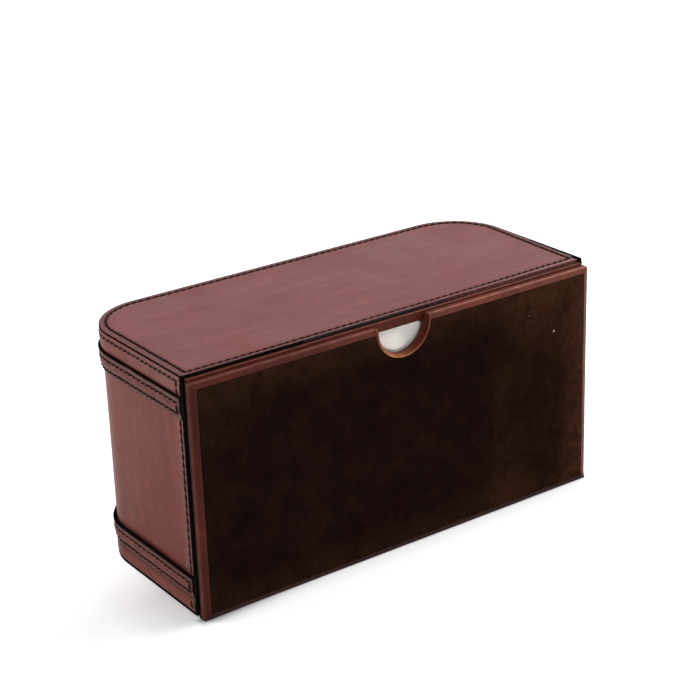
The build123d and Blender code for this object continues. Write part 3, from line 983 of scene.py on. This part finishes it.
def slotOutline(margin, acrossCount, endCount):
    # The slot's outline at that margin: right end, top, left end, bottom.
    radius = slotPiece["halfHeight"] + margin
    straight, centre = slotPiece["straight"], slotPiece["centre"]
    high, low = centre + radius, centre - radius
    return (alongArc(straight, centre, radius, -90, 90, endCount)
            + alongLine((straight, high), (-straight, high), acrossCount)
            + alongArc(-straight, centre, radius, 90, 270, endCount)
            + alongLine((-straight, low), (straight, low), acrossCount))


def wallLeatherPiece():
    bottom, top, across = wall["bottom"], wall["top"], wall["across"]
    count = round((top - bottom) / wall["rowStep"])
    heights = [bottom + (top - bottom) * row / count for row in range(count + 1)]
    half = case["rear"] / 2
    rearStart = case["side"] + case["arc"]
    fine = (0, 0.15, 0.35, 0.6, 1.0, 1.5, 2.1, 2.8, 3.4, 3.8, 4.2, 4.6, 5.0, 5.8, 7.2)
    side = [step * mm for step in fine]
    last = side[-1]
    steps = round((rearStart - last) / wall["sideStep"])
    side += [last + (rearStart - last) * step / steps for step in range(1, steps + 1)]
    rows, faces = [], []
    # both ends with their round corners
    for mirrored in (False, True):
        start = len(rows)
        rows += [wallRow(case["around"] - distance if mirrored else distance, height)
                 for distance in side for height in heights]
        faces += [tuple(start + index for index in (quad[::-1] if mirrored else quad))
                  for quad in bridgeRings(len(side), len(heights), False)]
    # the flat back, in rings from its outline to the slot
    edge = [(half, height) for height in heights[:-1]]
    edge += alongLine((half, top), (-half, top), across)
    edge += [(-half, height) for height in reversed(heights[1:])]
    edge += alongLine((-half, bottom), (half, bottom), across)
    hole = slotOutline(slotPiece["sleeve"], across, count)
    start = len(rows)
    ringShares = (0.0, 0.12, 0.26, 0.42, 0.6, 0.8, 1.0)
    for share in ringShares:
        for (edgeX, edgeZ), (holeX, holeZ) in zip(edge, hole):
            distance = rearStart + half + edgeX + (holeX - edgeX) * share
            rows.append(wallRow(distance, edgeZ + (holeZ - edgeZ) * share))
    faces += [tuple(start + index for index in quad) for quad in bridgeRings(len(ringShares), len(edge))]
    piece = buildPiece("wallLeather", rows, faces, coverLeather, outwards=False)
    shell = bmesh.new()
    shell.from_mesh(piece.data)
    bmesh.ops.remove_doubles(shell, verts=shell.verts, dist=0.01 * mm)
    bmesh.ops.recalc_face_normals(shell, faces=shell.faces)
    if min(shell.faces, key=lambda face: face.calc_center_median().x).normal.x > 0:
        bmesh.ops.reverse_faces(shell, faces=shell.faces)
    shell.to_mesh(piece.data)
    shell.free()
    thick = piece.modifiers.new("thickness", "SOLIDIFY")
    thick.thickness = wall["thickness"]
    thick.offset = -1
    thick.use_even_offset = True
    return dress(piece, "case", "cover_leather", "wall_leather")


def sewMouthSides():
    # Three upright rows on each side of the mouth: between the straps, above and below them.
    onStrip, onWall, steps = -0.12 * mm, -wall["inset"] - 0.18 * mm, 24
    for distance in (wall["sewFromFront"], case["around"] - wall["sewFromFront"]):
        for low, high, outwards in (
            (lowerTop + 1.0 * mm, upperTop - band["height"] - 0.4 * mm, onWall),
            (upperTop + 0.6 * mm, collarRowHeight, onStrip),
            (wall["bottom"] + 0.4 * mm, lowerTop - band["height"] - 0.6 * mm, onStrip),
        ):
            heights = [low + (high - low) * step / steps for step in range(steps + 1)]
            line = [wallPoint(distance, outwards, height) for height in heights]
            sewRow(line, [wallFacing(distance)] * len(line))


def slotEdgingPiece():
    # The slot's rolled edge: a sleeve through the wall with a stitched lip on the outside.
    inside, outside = slotPiece["inside"], slotPiece["outside"]
    face = outside - 0.5 * mm
    # margin in millimetres, y, painted crease shade
    section = (
        (0.0, inside + 0.2 * mm, 0), (0.0, face - 1.2 * mm, 0), (0.12, face - 0.5 * mm, 0),
        (0.45, outside - 0.22 * mm, 0), (0.95, outside + 0.02 * mm, 0), (1.6, outside + 0.08 * mm, 0),
        (2.2, outside, 0.3), (2.55, outside - 0.24 * mm, 1), (2.9, outside, 0.3), (3.5, outside + 0.04 * mm, 0),
        (4.05, outside - 0.1 * mm, 0.2), (4.4, face - 0.1 * mm, 1), (1.45, face - 0.25 * mm, 0),
        (1.3, inside, 0), (0.15, inside, 0),
    )
    rows = [(Vector((x, y, z)), 0.0, creaseShaded, 0.0) for margin, y, creaseShaded in section
            for x, z in slotOutline(margin * mm, *slotPiece["steps"])]
    seam = [Vector((x, outside - 0.12 * mm, z)) for x, z in slotOutline(slotPiece["seam"], *slotPiece["steps"])]
    seam.append(seam[0])
    sewRow(seam, [Vector((0, 1, 0))] * len(seam))
    home = ("case", "border_leather", "slot_edging")
    return loftPiece("slotEdging", rows, len(section), borderLeather, home, loop=True)


wallLeatherPiece()
sewMouthSides()
slotEdgingPiece()
print("wall leather and slot made")


binding = {
    "corner": 0.4 * mm,
    "rimHighlight": (0.35, 0.4),  # painted highlight along its outer front edge, and how much more towards the right, where more light falls
    "faceHighlight": (0.03, 0.03),
    "unpaintedTop": 1.0 * mm,
}


def mouthBindingPiece():
    # The strips that cover the boards' edges round the mouth, black outside: edge paint, and painted shade
    # where their sides and back edge sit in the gap behind the drawer front.
    low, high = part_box("mouth_binding_top")
    baseLow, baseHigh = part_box("mouth_binding_bottom")
    outer, front, back = high.x, low.y, high.y
    width, baseWidth = high.z - low.z, baseHigh.z - baseLow.z
    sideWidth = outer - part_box("mouth_binding_right")[0].x
    # share of the width, y, black (edge paint and painted shade)
    section = ((0.0, back, 1), (0.0, back - 0.35 * mm, 1), (0.0, back - 0.5 * mm, 0),
               (0.0, front + 0.5 * mm, 0), (0.03, front + 0.2 * mm, 0),
               (0.09, front + 0.04 * mm, 0), (0.2, front - 0.02 * mm, 0),
               (0.5, front, 0), (0.82, front + 0.02 * mm, 0), (0.93, front + 0.14 * mm, 0),
               (1.0, front + 0.5 * mm, 0), (1.0, back, 0))
    rows = []
    for share, y, blackened in section:
        half = outer - sideWidth * share
        ring = frameRing(half, baseLow.z + baseWidth * share, high.z - width * share, y, binding["corner"])
        outermost = max(point.x for point in ring) - 0.02 * mm
        highlight, rightHighlight = binding["rimHighlight" if 0.01 < share < 0.05 else "faceHighlight"]
        for point in ring:
            onSide = share < 0.15 and abs(point.x) > outermost and point.z < high.z - binding["unpaintedTop"]
            highlighted = highlight + rightHighlight * rightLitShare(point.x)
            rows.append((point, 1.0 if blackened or onSide else 0.0, 0.0, highlighted))
    nodes = ("mouth_binding_" + side for side in ("top", "bottom", "left", "right"))
    home = ("case", "border_leather", *nodes)
    return loftPiece("mouthBinding", rows, len(section), borderLeather, home, loop=True)


mouthBindingPiece()

# The drawer's front
borderLow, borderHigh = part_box("front_border")
liningLow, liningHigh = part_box("notch_lining")
front = {
    "half": borderHigh.x,
    "bottom": borderLow.z - 0.25 * mm,
    "top": borderHigh.z,
    "back": borderHigh.y,
    "face": borderLow.y,
    "arris": borderLow.y + 2.0 * mm,
    "suedeBack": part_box("suede_panel")[1].y,
    "notchFace": liningLow.y,
    "notchClear": liningHigh.x,
    "notchRadius": liningHigh.x - 1.6 * mm,
    "notchMiddle": liningLow.z + liningHigh.x,
    "beadRadius": 0.68 * mm,
    "notchSteps": 72,
    "cornerRound": 1.6 * mm,
    "lowBevel": 1.1 * mm,
    "bevel": (3.9, 2.7, 2.0),
    "arcSteps": 60,
    "suedeCorner": 0.9 * mm,
    "notchLit": (120, 36),  # degrees round the notch where its roll is palest, and how far that reaches
}


def notchReach(height, radius):
    drop = max(front["notchMiddle"] - height, 0.0)
    return math.sqrt(max(radius ** 2 - drop ** 2, 0.0))


def panelLine(sideInset, edgeInset, y, corner, notchRadius):
    # The panel's outline from the notch's right side round to its left side.
    half = front["half"] - sideInset
    top, bottom = front["top"] - edgeInset, front["bottom"] + edgeInset
    corner = max(corner - min(sideInset, edgeInset), 0.15 * mm)
    low = max(corner * 0.35, 0.15 * mm)
    reach = notchReach(top, notchRadius)
    line = alongLine((reach, top), (half - corner, top), 44)
    line += alongArc(half - corner, top - corner, corner, 90, 0, 6)
    line += alongLine((half, top - corner), (half, bottom + low), 48)
    line += alongArc(half - low, bottom + low, low, 0, -90, 6)
    line += alongLine((half - low, bottom), (low - half, bottom), 96)
    line += alongArc(low - half, bottom + low, low, -90, -180, 6)
    line += alongLine((-half, bottom + low), (-half, top - corner), 48)
    line += alongArc(corner - half, top - corner, corner, 180, 90, 6)
    line += alongLine((corner - half, top), (-reach, top), 44)
    return [Vector((x, y, z)) for x, z in line + [(-reach, top)]]


def frontBorderPiece():
    # Leather wrapped round the board's edge and its bevel, turned down beside the suede.
    back, arris, face, suedeBack = front["back"], front["arris"], front["face"], front["suedeBack"]
    sideBevel, edgeBevel, depth = front["bevel"]
    section = (
        # side inset, top and bottom inset (millimetres), y, painted crease shade, painted highlight
        (1.0, 1.0, back, 1, 0), (0.3, 0.3, back, 1, 0), (0.03, 0.03, back - 0.2 * mm, 0.9, 0),
        (0.0, 0.0, back - 0.7 * mm, 0.5, 0), (-0.03, -0.03, (back + arris) / 2, 0, 0),
        (0.0, 0.0, arris + 0.5 * mm, 0, 0), (0.05, 0.04, arris + 0.24 * mm, 0, 0.2),
        (0.18, 0.14, arris + 0.04 * mm, 0, 0.42), (0.38, 0.28, arris - 0.14 * mm, 0, 0.36),
        *((sideBevel * share, edgeBevel * share, arris - depth * share * mm, creaseShaded, highlighted)
          for share, creaseShaded, highlighted in ((0.17, 0.02, 0.26), (0.3, 0.05, 0.06), (0.5, 0.1, 0),
                                            (0.7, 0.06, 0), (0.86, 0, 0), (0.95, 0, 0))),
        (3.86, 2.68, face + 0.04 * mm, 0, 0.04), (4.0, 2.84, face, 0, 0.1),
        (4.15, 3.0, face + 0.08 * mm, 0.4, 0.06),
        (4.28, 3.13, face + 0.28 * mm, 0.9, 0), (4.3, 3.15, suedeBack, 1, 0), (3.3, 2.2, suedeBack, 0, 0),
        (1.3, 1.3, arris, 0, 0),
    )
    notchEdge = notchReach(front["top"], front["notchClear"]) + 0.5 * mm
    rows = []
    for side, edge, y, creaseShaded, highlighted in section:
        bevelled = clamp((y - face) / (arris - face)) if y < arris + 1.0 * mm else 0.0
        for point in panelLine(side * mm, edge * mm, y, front["cornerRound"], front["notchClear"]):
            wander = 0.05 * mm * ripple(point.x * 45, y * 300, point.z * 45)
            low = clamp(1 - (point.z - front["bottom"] - edge * mm) / (1.2 * mm))
            onSide = abs(point.x) > front["half"] - (side + 0.6) * mm
            rightLit = rightLitShare(point.x)
            # The side face is black and shaded towards its back: painted shade of the gap to the case. The
            # bottom bevel darkens as painted shadow, and the cut beside the notch's right end gets painted
            # shade. The painted highlight on the arris grows towards the right, where more light falls, and
            # fades at the bottom.
            shade = creaseShaded if onSide or y < arris + 0.4 * mm else creaseShaded * 0.3
            if onSide and y > arris + 0.3 * mm:
                shade = max(shade, 0.35)
            cut = bell(point.x, notchEdge, 0.8 * mm) if y < arris + 0.2 * mm else 0.0
            rows.append((
                point + Vector((0, wander - front["lowBevel"] * bevelled * low, wander)),
                1.0 if onSide and y > arris + 0.6 * mm and side < 0.5 else 0.0,
                max(shade, 0.8 * low * low, cut),
                (highlighted * (0.6 + 1.0 * rightLit) + 0.2 * rightLit) * (1 - low),
            ))
    size = len(rows) // len(section)
    faces = bridgeRings(len(section), size, False, loop=True)
    faces += [tuple(ring * size + end for ring in range(len(section))) for end in (0, size - 1)]
    piece = buildPiece("frontBorder", rows, faces, borderLeather)
    return dress(piece, "drawer", "border_leather", "front_border")


def notchLiningPiece():
    # Leather through the notch, rolled into a bead on the face.
    inner, clear, radius = front["notchRadius"], front["notchClear"], front["beadRadius"]
    back, suedeBack, beadY = front["back"], front["suedeBack"], front["notchFace"] + radius
    section = [(inner + 0.95 * mm, back), (inner + 0.1 * mm, back), (inner, back - 0.25 * mm),
               (inner - 0.03 * mm, back - 2.0 * mm), (inner + 0.08 * mm, beadY + 1.3 * mm),
               (inner + 0.26 * mm, beadY + 0.55 * mm), (inner + 0.4 * mm, beadY + 0.2 * mm)]
    section += alongArc(clear - radius, beadY, radius, 180, 360, 12)
    section += [(clear, beadY), (clear, suedeBack - 0.05 * mm), (inner + 1.0 * mm, suedeBack)]
    middle, middleY = clear - 0.8 * mm, (beadY + back) / 2
    rise, steps = front["top"] - front["notchMiddle"], front["notchSteps"]
    # angle round the notch, lift, and how much of the section is left where it tapers off
    stations = [(0.0, rise + 0.25 * mm, 0.5), (0.0, rise, 0.85), (0.0, rise - 0.3 * mm, 1.0),
                (0.0, rise / 2, 1.0)]
    stations += [(180 * step / steps, 0.0, 1.0) for step in range(steps + 1)]
    stations += [(180.0, rise / 3, 1.0), (180.0, rise - 1.5 * mm, 0.92), (180.0, rise - 0.7 * mm, 0.7),
                 (180.0, rise, 0.42), (180.0, rise + 0.25 * mm, 0.22)]
    rows = []
    for degrees, lift, share in stations:
        angle = math.radians(degrees)
        lit = bell(degrees, *front["notchLit"])
        for away, y in section:
            reach = middle + (away - middle) * share
            place = Vector((reach * math.cos(angle), middleY + (y - middleY) * share,
                            front["notchMiddle"] + lift - reach * math.sin(angle)))
            # painted shadow round the bead's outer side on the suede (less near the left end), and a painted
            # highlight on the bead and the lining's lower inner face where the light falls (notchLit)
            creaseShaded = (0.95 if degrees < 150 else 0.2) if away > clear - 0.12 * mm else 0.0
            if y < beadY + 0.1 * mm and away > inner + 0.45 * mm:
                highlighted = 0.3 + 0.6 * lit
            else:
                highlighted = 0.04 + 0.5 * lit if y < beadY + 3 * mm else 0.04
            rows.append((place, 0.0, creaseShaded, highlighted))
    home = ("drawer", "border_leather", "notch_lining")
    return loftPiece("notchLining", rows, len(stations), notchLeather, home, caps=True)


def suedePanelPiece():
    # The suede face, with its cut edge turned a little inwards all round and round the notch.
    face, middle, arcSteps = front["face"], front["notchMiddle"], front["arcSteps"]
    # side inset, top and bottom inset, y, margin round the notch (millimetres)
    section = ((4.35, 3.2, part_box("suede_panel")[1].y, 0.05), (4.35, 3.2, face + 0.42 * mm, 0.05),
               (4.52, 3.37, face + 0.18 * mm, 0.2), (5.0, 3.85, face + 0.05 * mm, 0.7), (6.0, 4.85, face, 1.6))
    rows = []
    for side, edge, y, margin in section:
        radius = front["notchClear"] + margin * mm
        line = panelLine(side * mm, edge * mm, y, front["suedeCorner"], radius)
        start, end = (math.atan2(middle - line[index].z, line[index].x) for index in (-1, 0))
        for step in range(1, arcSteps):
            angle = start + (end - start) * step / arcSteps
            line.append(Vector((radius * math.cos(angle), y, middle - radius * math.sin(angle))))
        rows += [(point,) for point in line]
    return loftPiece("suedePanel", rows, len(section), darkSuede, ("drawer", "suede", "suede_panel"), caps=True)


frontBorderPiece()
notchLiningPiece()
suedePanelPiece()
print("drawer front made")

# The tissues
stackLow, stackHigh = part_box("tissue_stack")
tissues = {
    "leaves": 37,
    "corner": 3.0 * mm,
    "jitter": 0.35 * mm,
    "seed": 11,
    "sag": 4.3 * mm,
    "sagFade": 1.6 * mm,
    "sagMiddle": (104, 40),  # degrees round the notch where it is deepest, and how far it reaches
    "sagSteps": 48,
    "clearance": 0.3 * mm,
}


def leafTree(spacing):
    # Stacks its object's leaf from front to back, each a little out of line.
    tree, given, result, add, values = newGeometryTree("stackLeaves", {
        "leaves": ("Int", tissues["leaves"]),
        "start": ("Vector", (0.0, stackLow.y + spacing / 2, stackLow.z + 0.2 * mm)),
        "spacing": ("Float", spacing),
        "jitter": ("Float", tissues["jitter"]),
        "seed": ("Int", tissues["seed"]),
        "paper": ("Material", tissuePaper),
    })
    step = add("ShaderNodeCombineXYZ", {"Y": given["spacing"]})
    line = add("GeometryNodeMeshLine",
               {"Count": given["leaves"], "Start Location": given["start"], "Offset": step})
    shake = add("FunctionNodeRandomValue", {0: (-1.0, 0.0, -0.6), 1: (1.0, 0.0, 0.2), "Seed": given["seed"]}, 0,
                data_type="FLOAT_VECTOR")
    shift = add("ShaderNodeVectorMath", {0: shake, "Scale": given["jitter"]}, operation="SCALE")
    moved = add("GeometryNodeSetPosition", {"Geometry": line, "Offset": shift})
    placed = add("GeometryNodeInstanceOnPoints", {"Points": moved, "Instance": given["Geometry"]})
    solid = add("GeometryNodeRealizeInstances", {"Geometry": placed})
    tree.links.new(add("GeometryNodeSetMaterial", {"Geometry": solid, "Material": given["paper"]}), result[0])
    return tree, values


def tissueStackPiece():
    halfWidth = (stackHigh.x - stackLow.x) / 2 - tissues["jitter"]
    height = stackHigh.z - stackLow.z - 0.4 * mm
    spacing = (stackHigh.y - stackLow.y) / tissues["leaves"]
    # inset in millimetres and share of the leaf's thickness
    profile = ((1.0, 0.0), (0.3, 0.04), (0.05, 0.2), (0.0, 0.5), (0.05, 0.8), (0.3, 0.96), (1.0, 1.0))
    rows = []
    for inset, share in profile:
        inward = inset * mm
        ring = frameRing(halfWidth - inward, inward, height - inward, spacing * (share - 0.5) * 0.98,
                         tissues["corner"], 4)
        rows += [(point,) for point in ring]
    home = ("drawer", "tissue", "tissue_stack")
    piece = loftPiece("tissueStack", rows, len(profile), tissuePaper, home, caps=True)
    return runGeometryTree(piece, *leafTree(spacing))


def tissueSagPiece():
    # The soft front leaves sag against the lower part of the notch, below the top's lining.
    radius = front["notchRadius"] - 0.15 * mm
    drop = front["notchMiddle"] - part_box("top_lining")[0].z + tissues["clearance"]
    start, steps = math.asin(drop / radius), tissues["sagSteps"]
    rings = (1.0, 1.0, 0.99, 0.975, 0.95, 0.91, 0.85, 0.77, 0.67, 0.55, 0.42, 0.28, 0.14)
    rows = []
    for share in rings:
        for step in range(steps + 1):
            angle = start + (math.pi - 2 * start) * step / steps
            x = radius * share * math.cos(angle)
            below = drop + share * (radius * math.sin(angle) - drop)
            reach = min(1.0, math.hypot(x, below) / radius)
            sag = tissues["sag"] * bell(math.degrees(math.atan2(below, x)), *tissues["sagMiddle"])
            sag *= clamp((below - drop) / tissues["sagFade"]) * reach ** 1.6 * (1 - reach ** 24)
            y = stackLow.y + (0.25 * mm if len(rows) <= steps else -0.02 * mm - sag)
            rows.append((Vector((x, y, front["notchMiddle"] - below)),))
    return loftPiece("tissueSag", rows, len(rings), tissuePaper, ("drawer", "tissue"), 80, caps=True)


tissueStackPiece()
tissueSagPiece()
print("tissues made")

caseStitchesPiece()

# CAD nodes that stay, with their finishes
finishes = {
    fibreBoard: ("top_board", "base_board", "wall_board", "front_board"),
    liningLeather: ("top_lining", "base_lining", "wall_lining", "front_backing", "drawer_floor_lining"),
    borderLeather: ("drawer_floor", "drawer_side_left", "drawer_side_right", "drawer_back_rail"),
}
for material, nodes in finishes.items():
    for node in nodes:
        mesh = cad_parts[node].data
        mesh.materials.clear()
        mesh.materials.append(material)

# Stage, light and camera
stage = {
    "size": 8.0,
    "floorTone": 0.80,
    "floorGlow": (0.36, 0.66),
    # where the floor's glow is lowered, painting shadow (beside, under), or raised (clear, rear): axis, from,
    # to, and strength if it isn't 1
    "beside": (("X", -0.165, -0.132, 0.24), ("X", -0.08, -0.12), ("Y", -0.068, -0.05), ("Y", 0.02, -0.02)),
    "under": (("Y", -0.0615, -0.0572, 0.3), ("X", -0.05, -0.12), ("X", -0.133, -0.1305),
              ("Y", -0.05, -0.053)),
    "clear": (("Y", -0.055, -0.068), ("X", 0.1, 0.14)),
    "clearGlow": 0.16,
    "rear": (("Y", -0.022, 0.06, 0.34),),
    "worldLight": 0.34,
    "worldSeen": 1.0,
}
lamps = {
    # name: place, size, power, aimed at
    "key": ((0.5, -0.2, 1.45), 0.8, 2.5, (0.0, 0.0, 0.1)),
    "left": ((-0.95, 0.9, 0.9), 0.8, 11.8, (0.0, 0.0, 0.07)),
    "right": ((0.75, -0.23, 0.85), 0.45, 3.8, (0.0, 0.0, 0.07)),
    "front": ((-0.3, -1.8, 0.9), 1.0, 10.4, (0.0, 0.0, 0.06)),
}
camera = {
    "azimuth": math.radians(-35.223),
    "elevation": math.radians(22.235),
    "roll": math.radians(-1.89),
    "distance": 1.172332,
    "target": Vector((0.094251, 0.12565, 0.032114)),
    "lens": 94.617,
}


def addFloor():
    # A pale floor that keeps the object's shadow. Its glow evens it out to white, and it is lowered on the left
    # and under the front, which paints a darker soft shadow there.
    mesh = bpy.data.meshes.new("floor")
    size = stage["size"]
    corners = [(-size, -size, 0), (size, -size, 0), (size, size, 0), (-size, size, 0)]
    mesh.from_pydata(corners, [], [(0, 1, 2, 3)])
    floor = addObject("floor", mesh)
    floor.location.z = -0.0001
    material, tree, shader, place = newMaterial("paleFloor")
    away = addNode(tree, "ShaderNodeVectorMath", {0: place}, operation="LENGTH").outputs["Value"]
    axes = addNode(tree, "ShaderNodeSeparateXYZ", {"Vector": place}).outputs

    def mask(label, operation="MULTIPLY"):
        spans = (remap(tree, axes[axis], low, high, 0.0, *most) for axis, low, high, *most in stage[label])
        return combine(tree, operation, *spans)

    glow = remap(tree, away, 0.16, 0.5, *stage["floorGlow"])
    # painted shadow: less glow beside the left wall and under the front's edge
    glow = combine(tree, "SUBTRACT", glow, mask("beside"), mask("under"))
    clear = combine(tree, "MULTIPLY", mask("clear", "MAXIMUM"), stage["clearGlow"])
    glow = combine(tree, "ADD", glow, clear, mask("rear"))
    seen = addNode(tree, "ShaderNodeLightPath").outputs["Is Camera Ray"]
    setInputs(tree, shader, {
        "Base Color": (*[stage["floorTone"]] * 3, 1.0),
        "Roughness": 1.0,
        "Specular IOR Level": 0.0,
        "Emission Color": (1, 1, 1, 1),
        "Emission Strength": combine(tree, "MULTIPLY", seen, glow),
    })
    mesh.materials.append(material)
    return floor


def addLights():
    world = bpy.data.worlds.new("paleWorld")
    bpy.context.scene.world = world
    world.use_nodes = True
    tree = world.node_tree
    tree.nodes.clear()
    rays = addNode(tree, "ShaderNodeLightPath").outputs
    bright = combine(tree, "MAXIMUM", rays["Is Camera Ray"], rays["Is Glossy Ray"], rays["Is Transmission Ray"])
    strength = remap(tree, bright, 0.0, 1.0, stage["worldLight"], stage["worldSeen"])
    background = addNode(tree, "ShaderNodeBackground", {"Color": (1, 1, 1, 1), "Strength": strength})
    output = addNode(tree, "ShaderNodeOutputWorld")
    tree.links.new(background.outputs[0], output.inputs["Surface"])
    for name, (place, size, power, target) in lamps.items():
        light = bpy.data.lights.new(name, "AREA")
        light.shape = "DISK"
        light.size = size
        light.energy = power
        lamp = addObject(name, light)
        lamp.location = place
        lamp.rotation_euler = (Vector(place) - Vector(target)).to_track_quat("Z", "Y").to_euler()


def addCamera():
    azimuth, elevation, roll = camera["azimuth"], camera["elevation"], camera["roll"]
    level = math.cos(elevation)
    back = Vector((math.sin(azimuth) * level, -math.cos(azimuth) * level, math.sin(elevation)))
    right = (-back).cross(Vector((0, 0, 1))).normalized()
    up = back.cross(right)
    rolledRight = right * math.cos(roll) + up * math.sin(roll)
    rolledUp = up * math.cos(roll) - right * math.sin(roll)
    data = bpy.data.cameras.new("camera")
    data.sensor_width = 36
    data.lens = camera["lens"]
    data.clip_start = 0.05
    data.clip_end = 50
    seer = addObject("camera", data)
    seer.location = camera["target"] + back * camera["distance"]
    seer.rotation_euler = Matrix((rolledRight, rolledUp, back)).transposed().to_euler()
    bpy.context.scene.camera = seer


addFloor()
addLights()
addCamera()
bpy.context.scene.view_settings.view_transform = "Standard"
print("stage, lights and camera set")
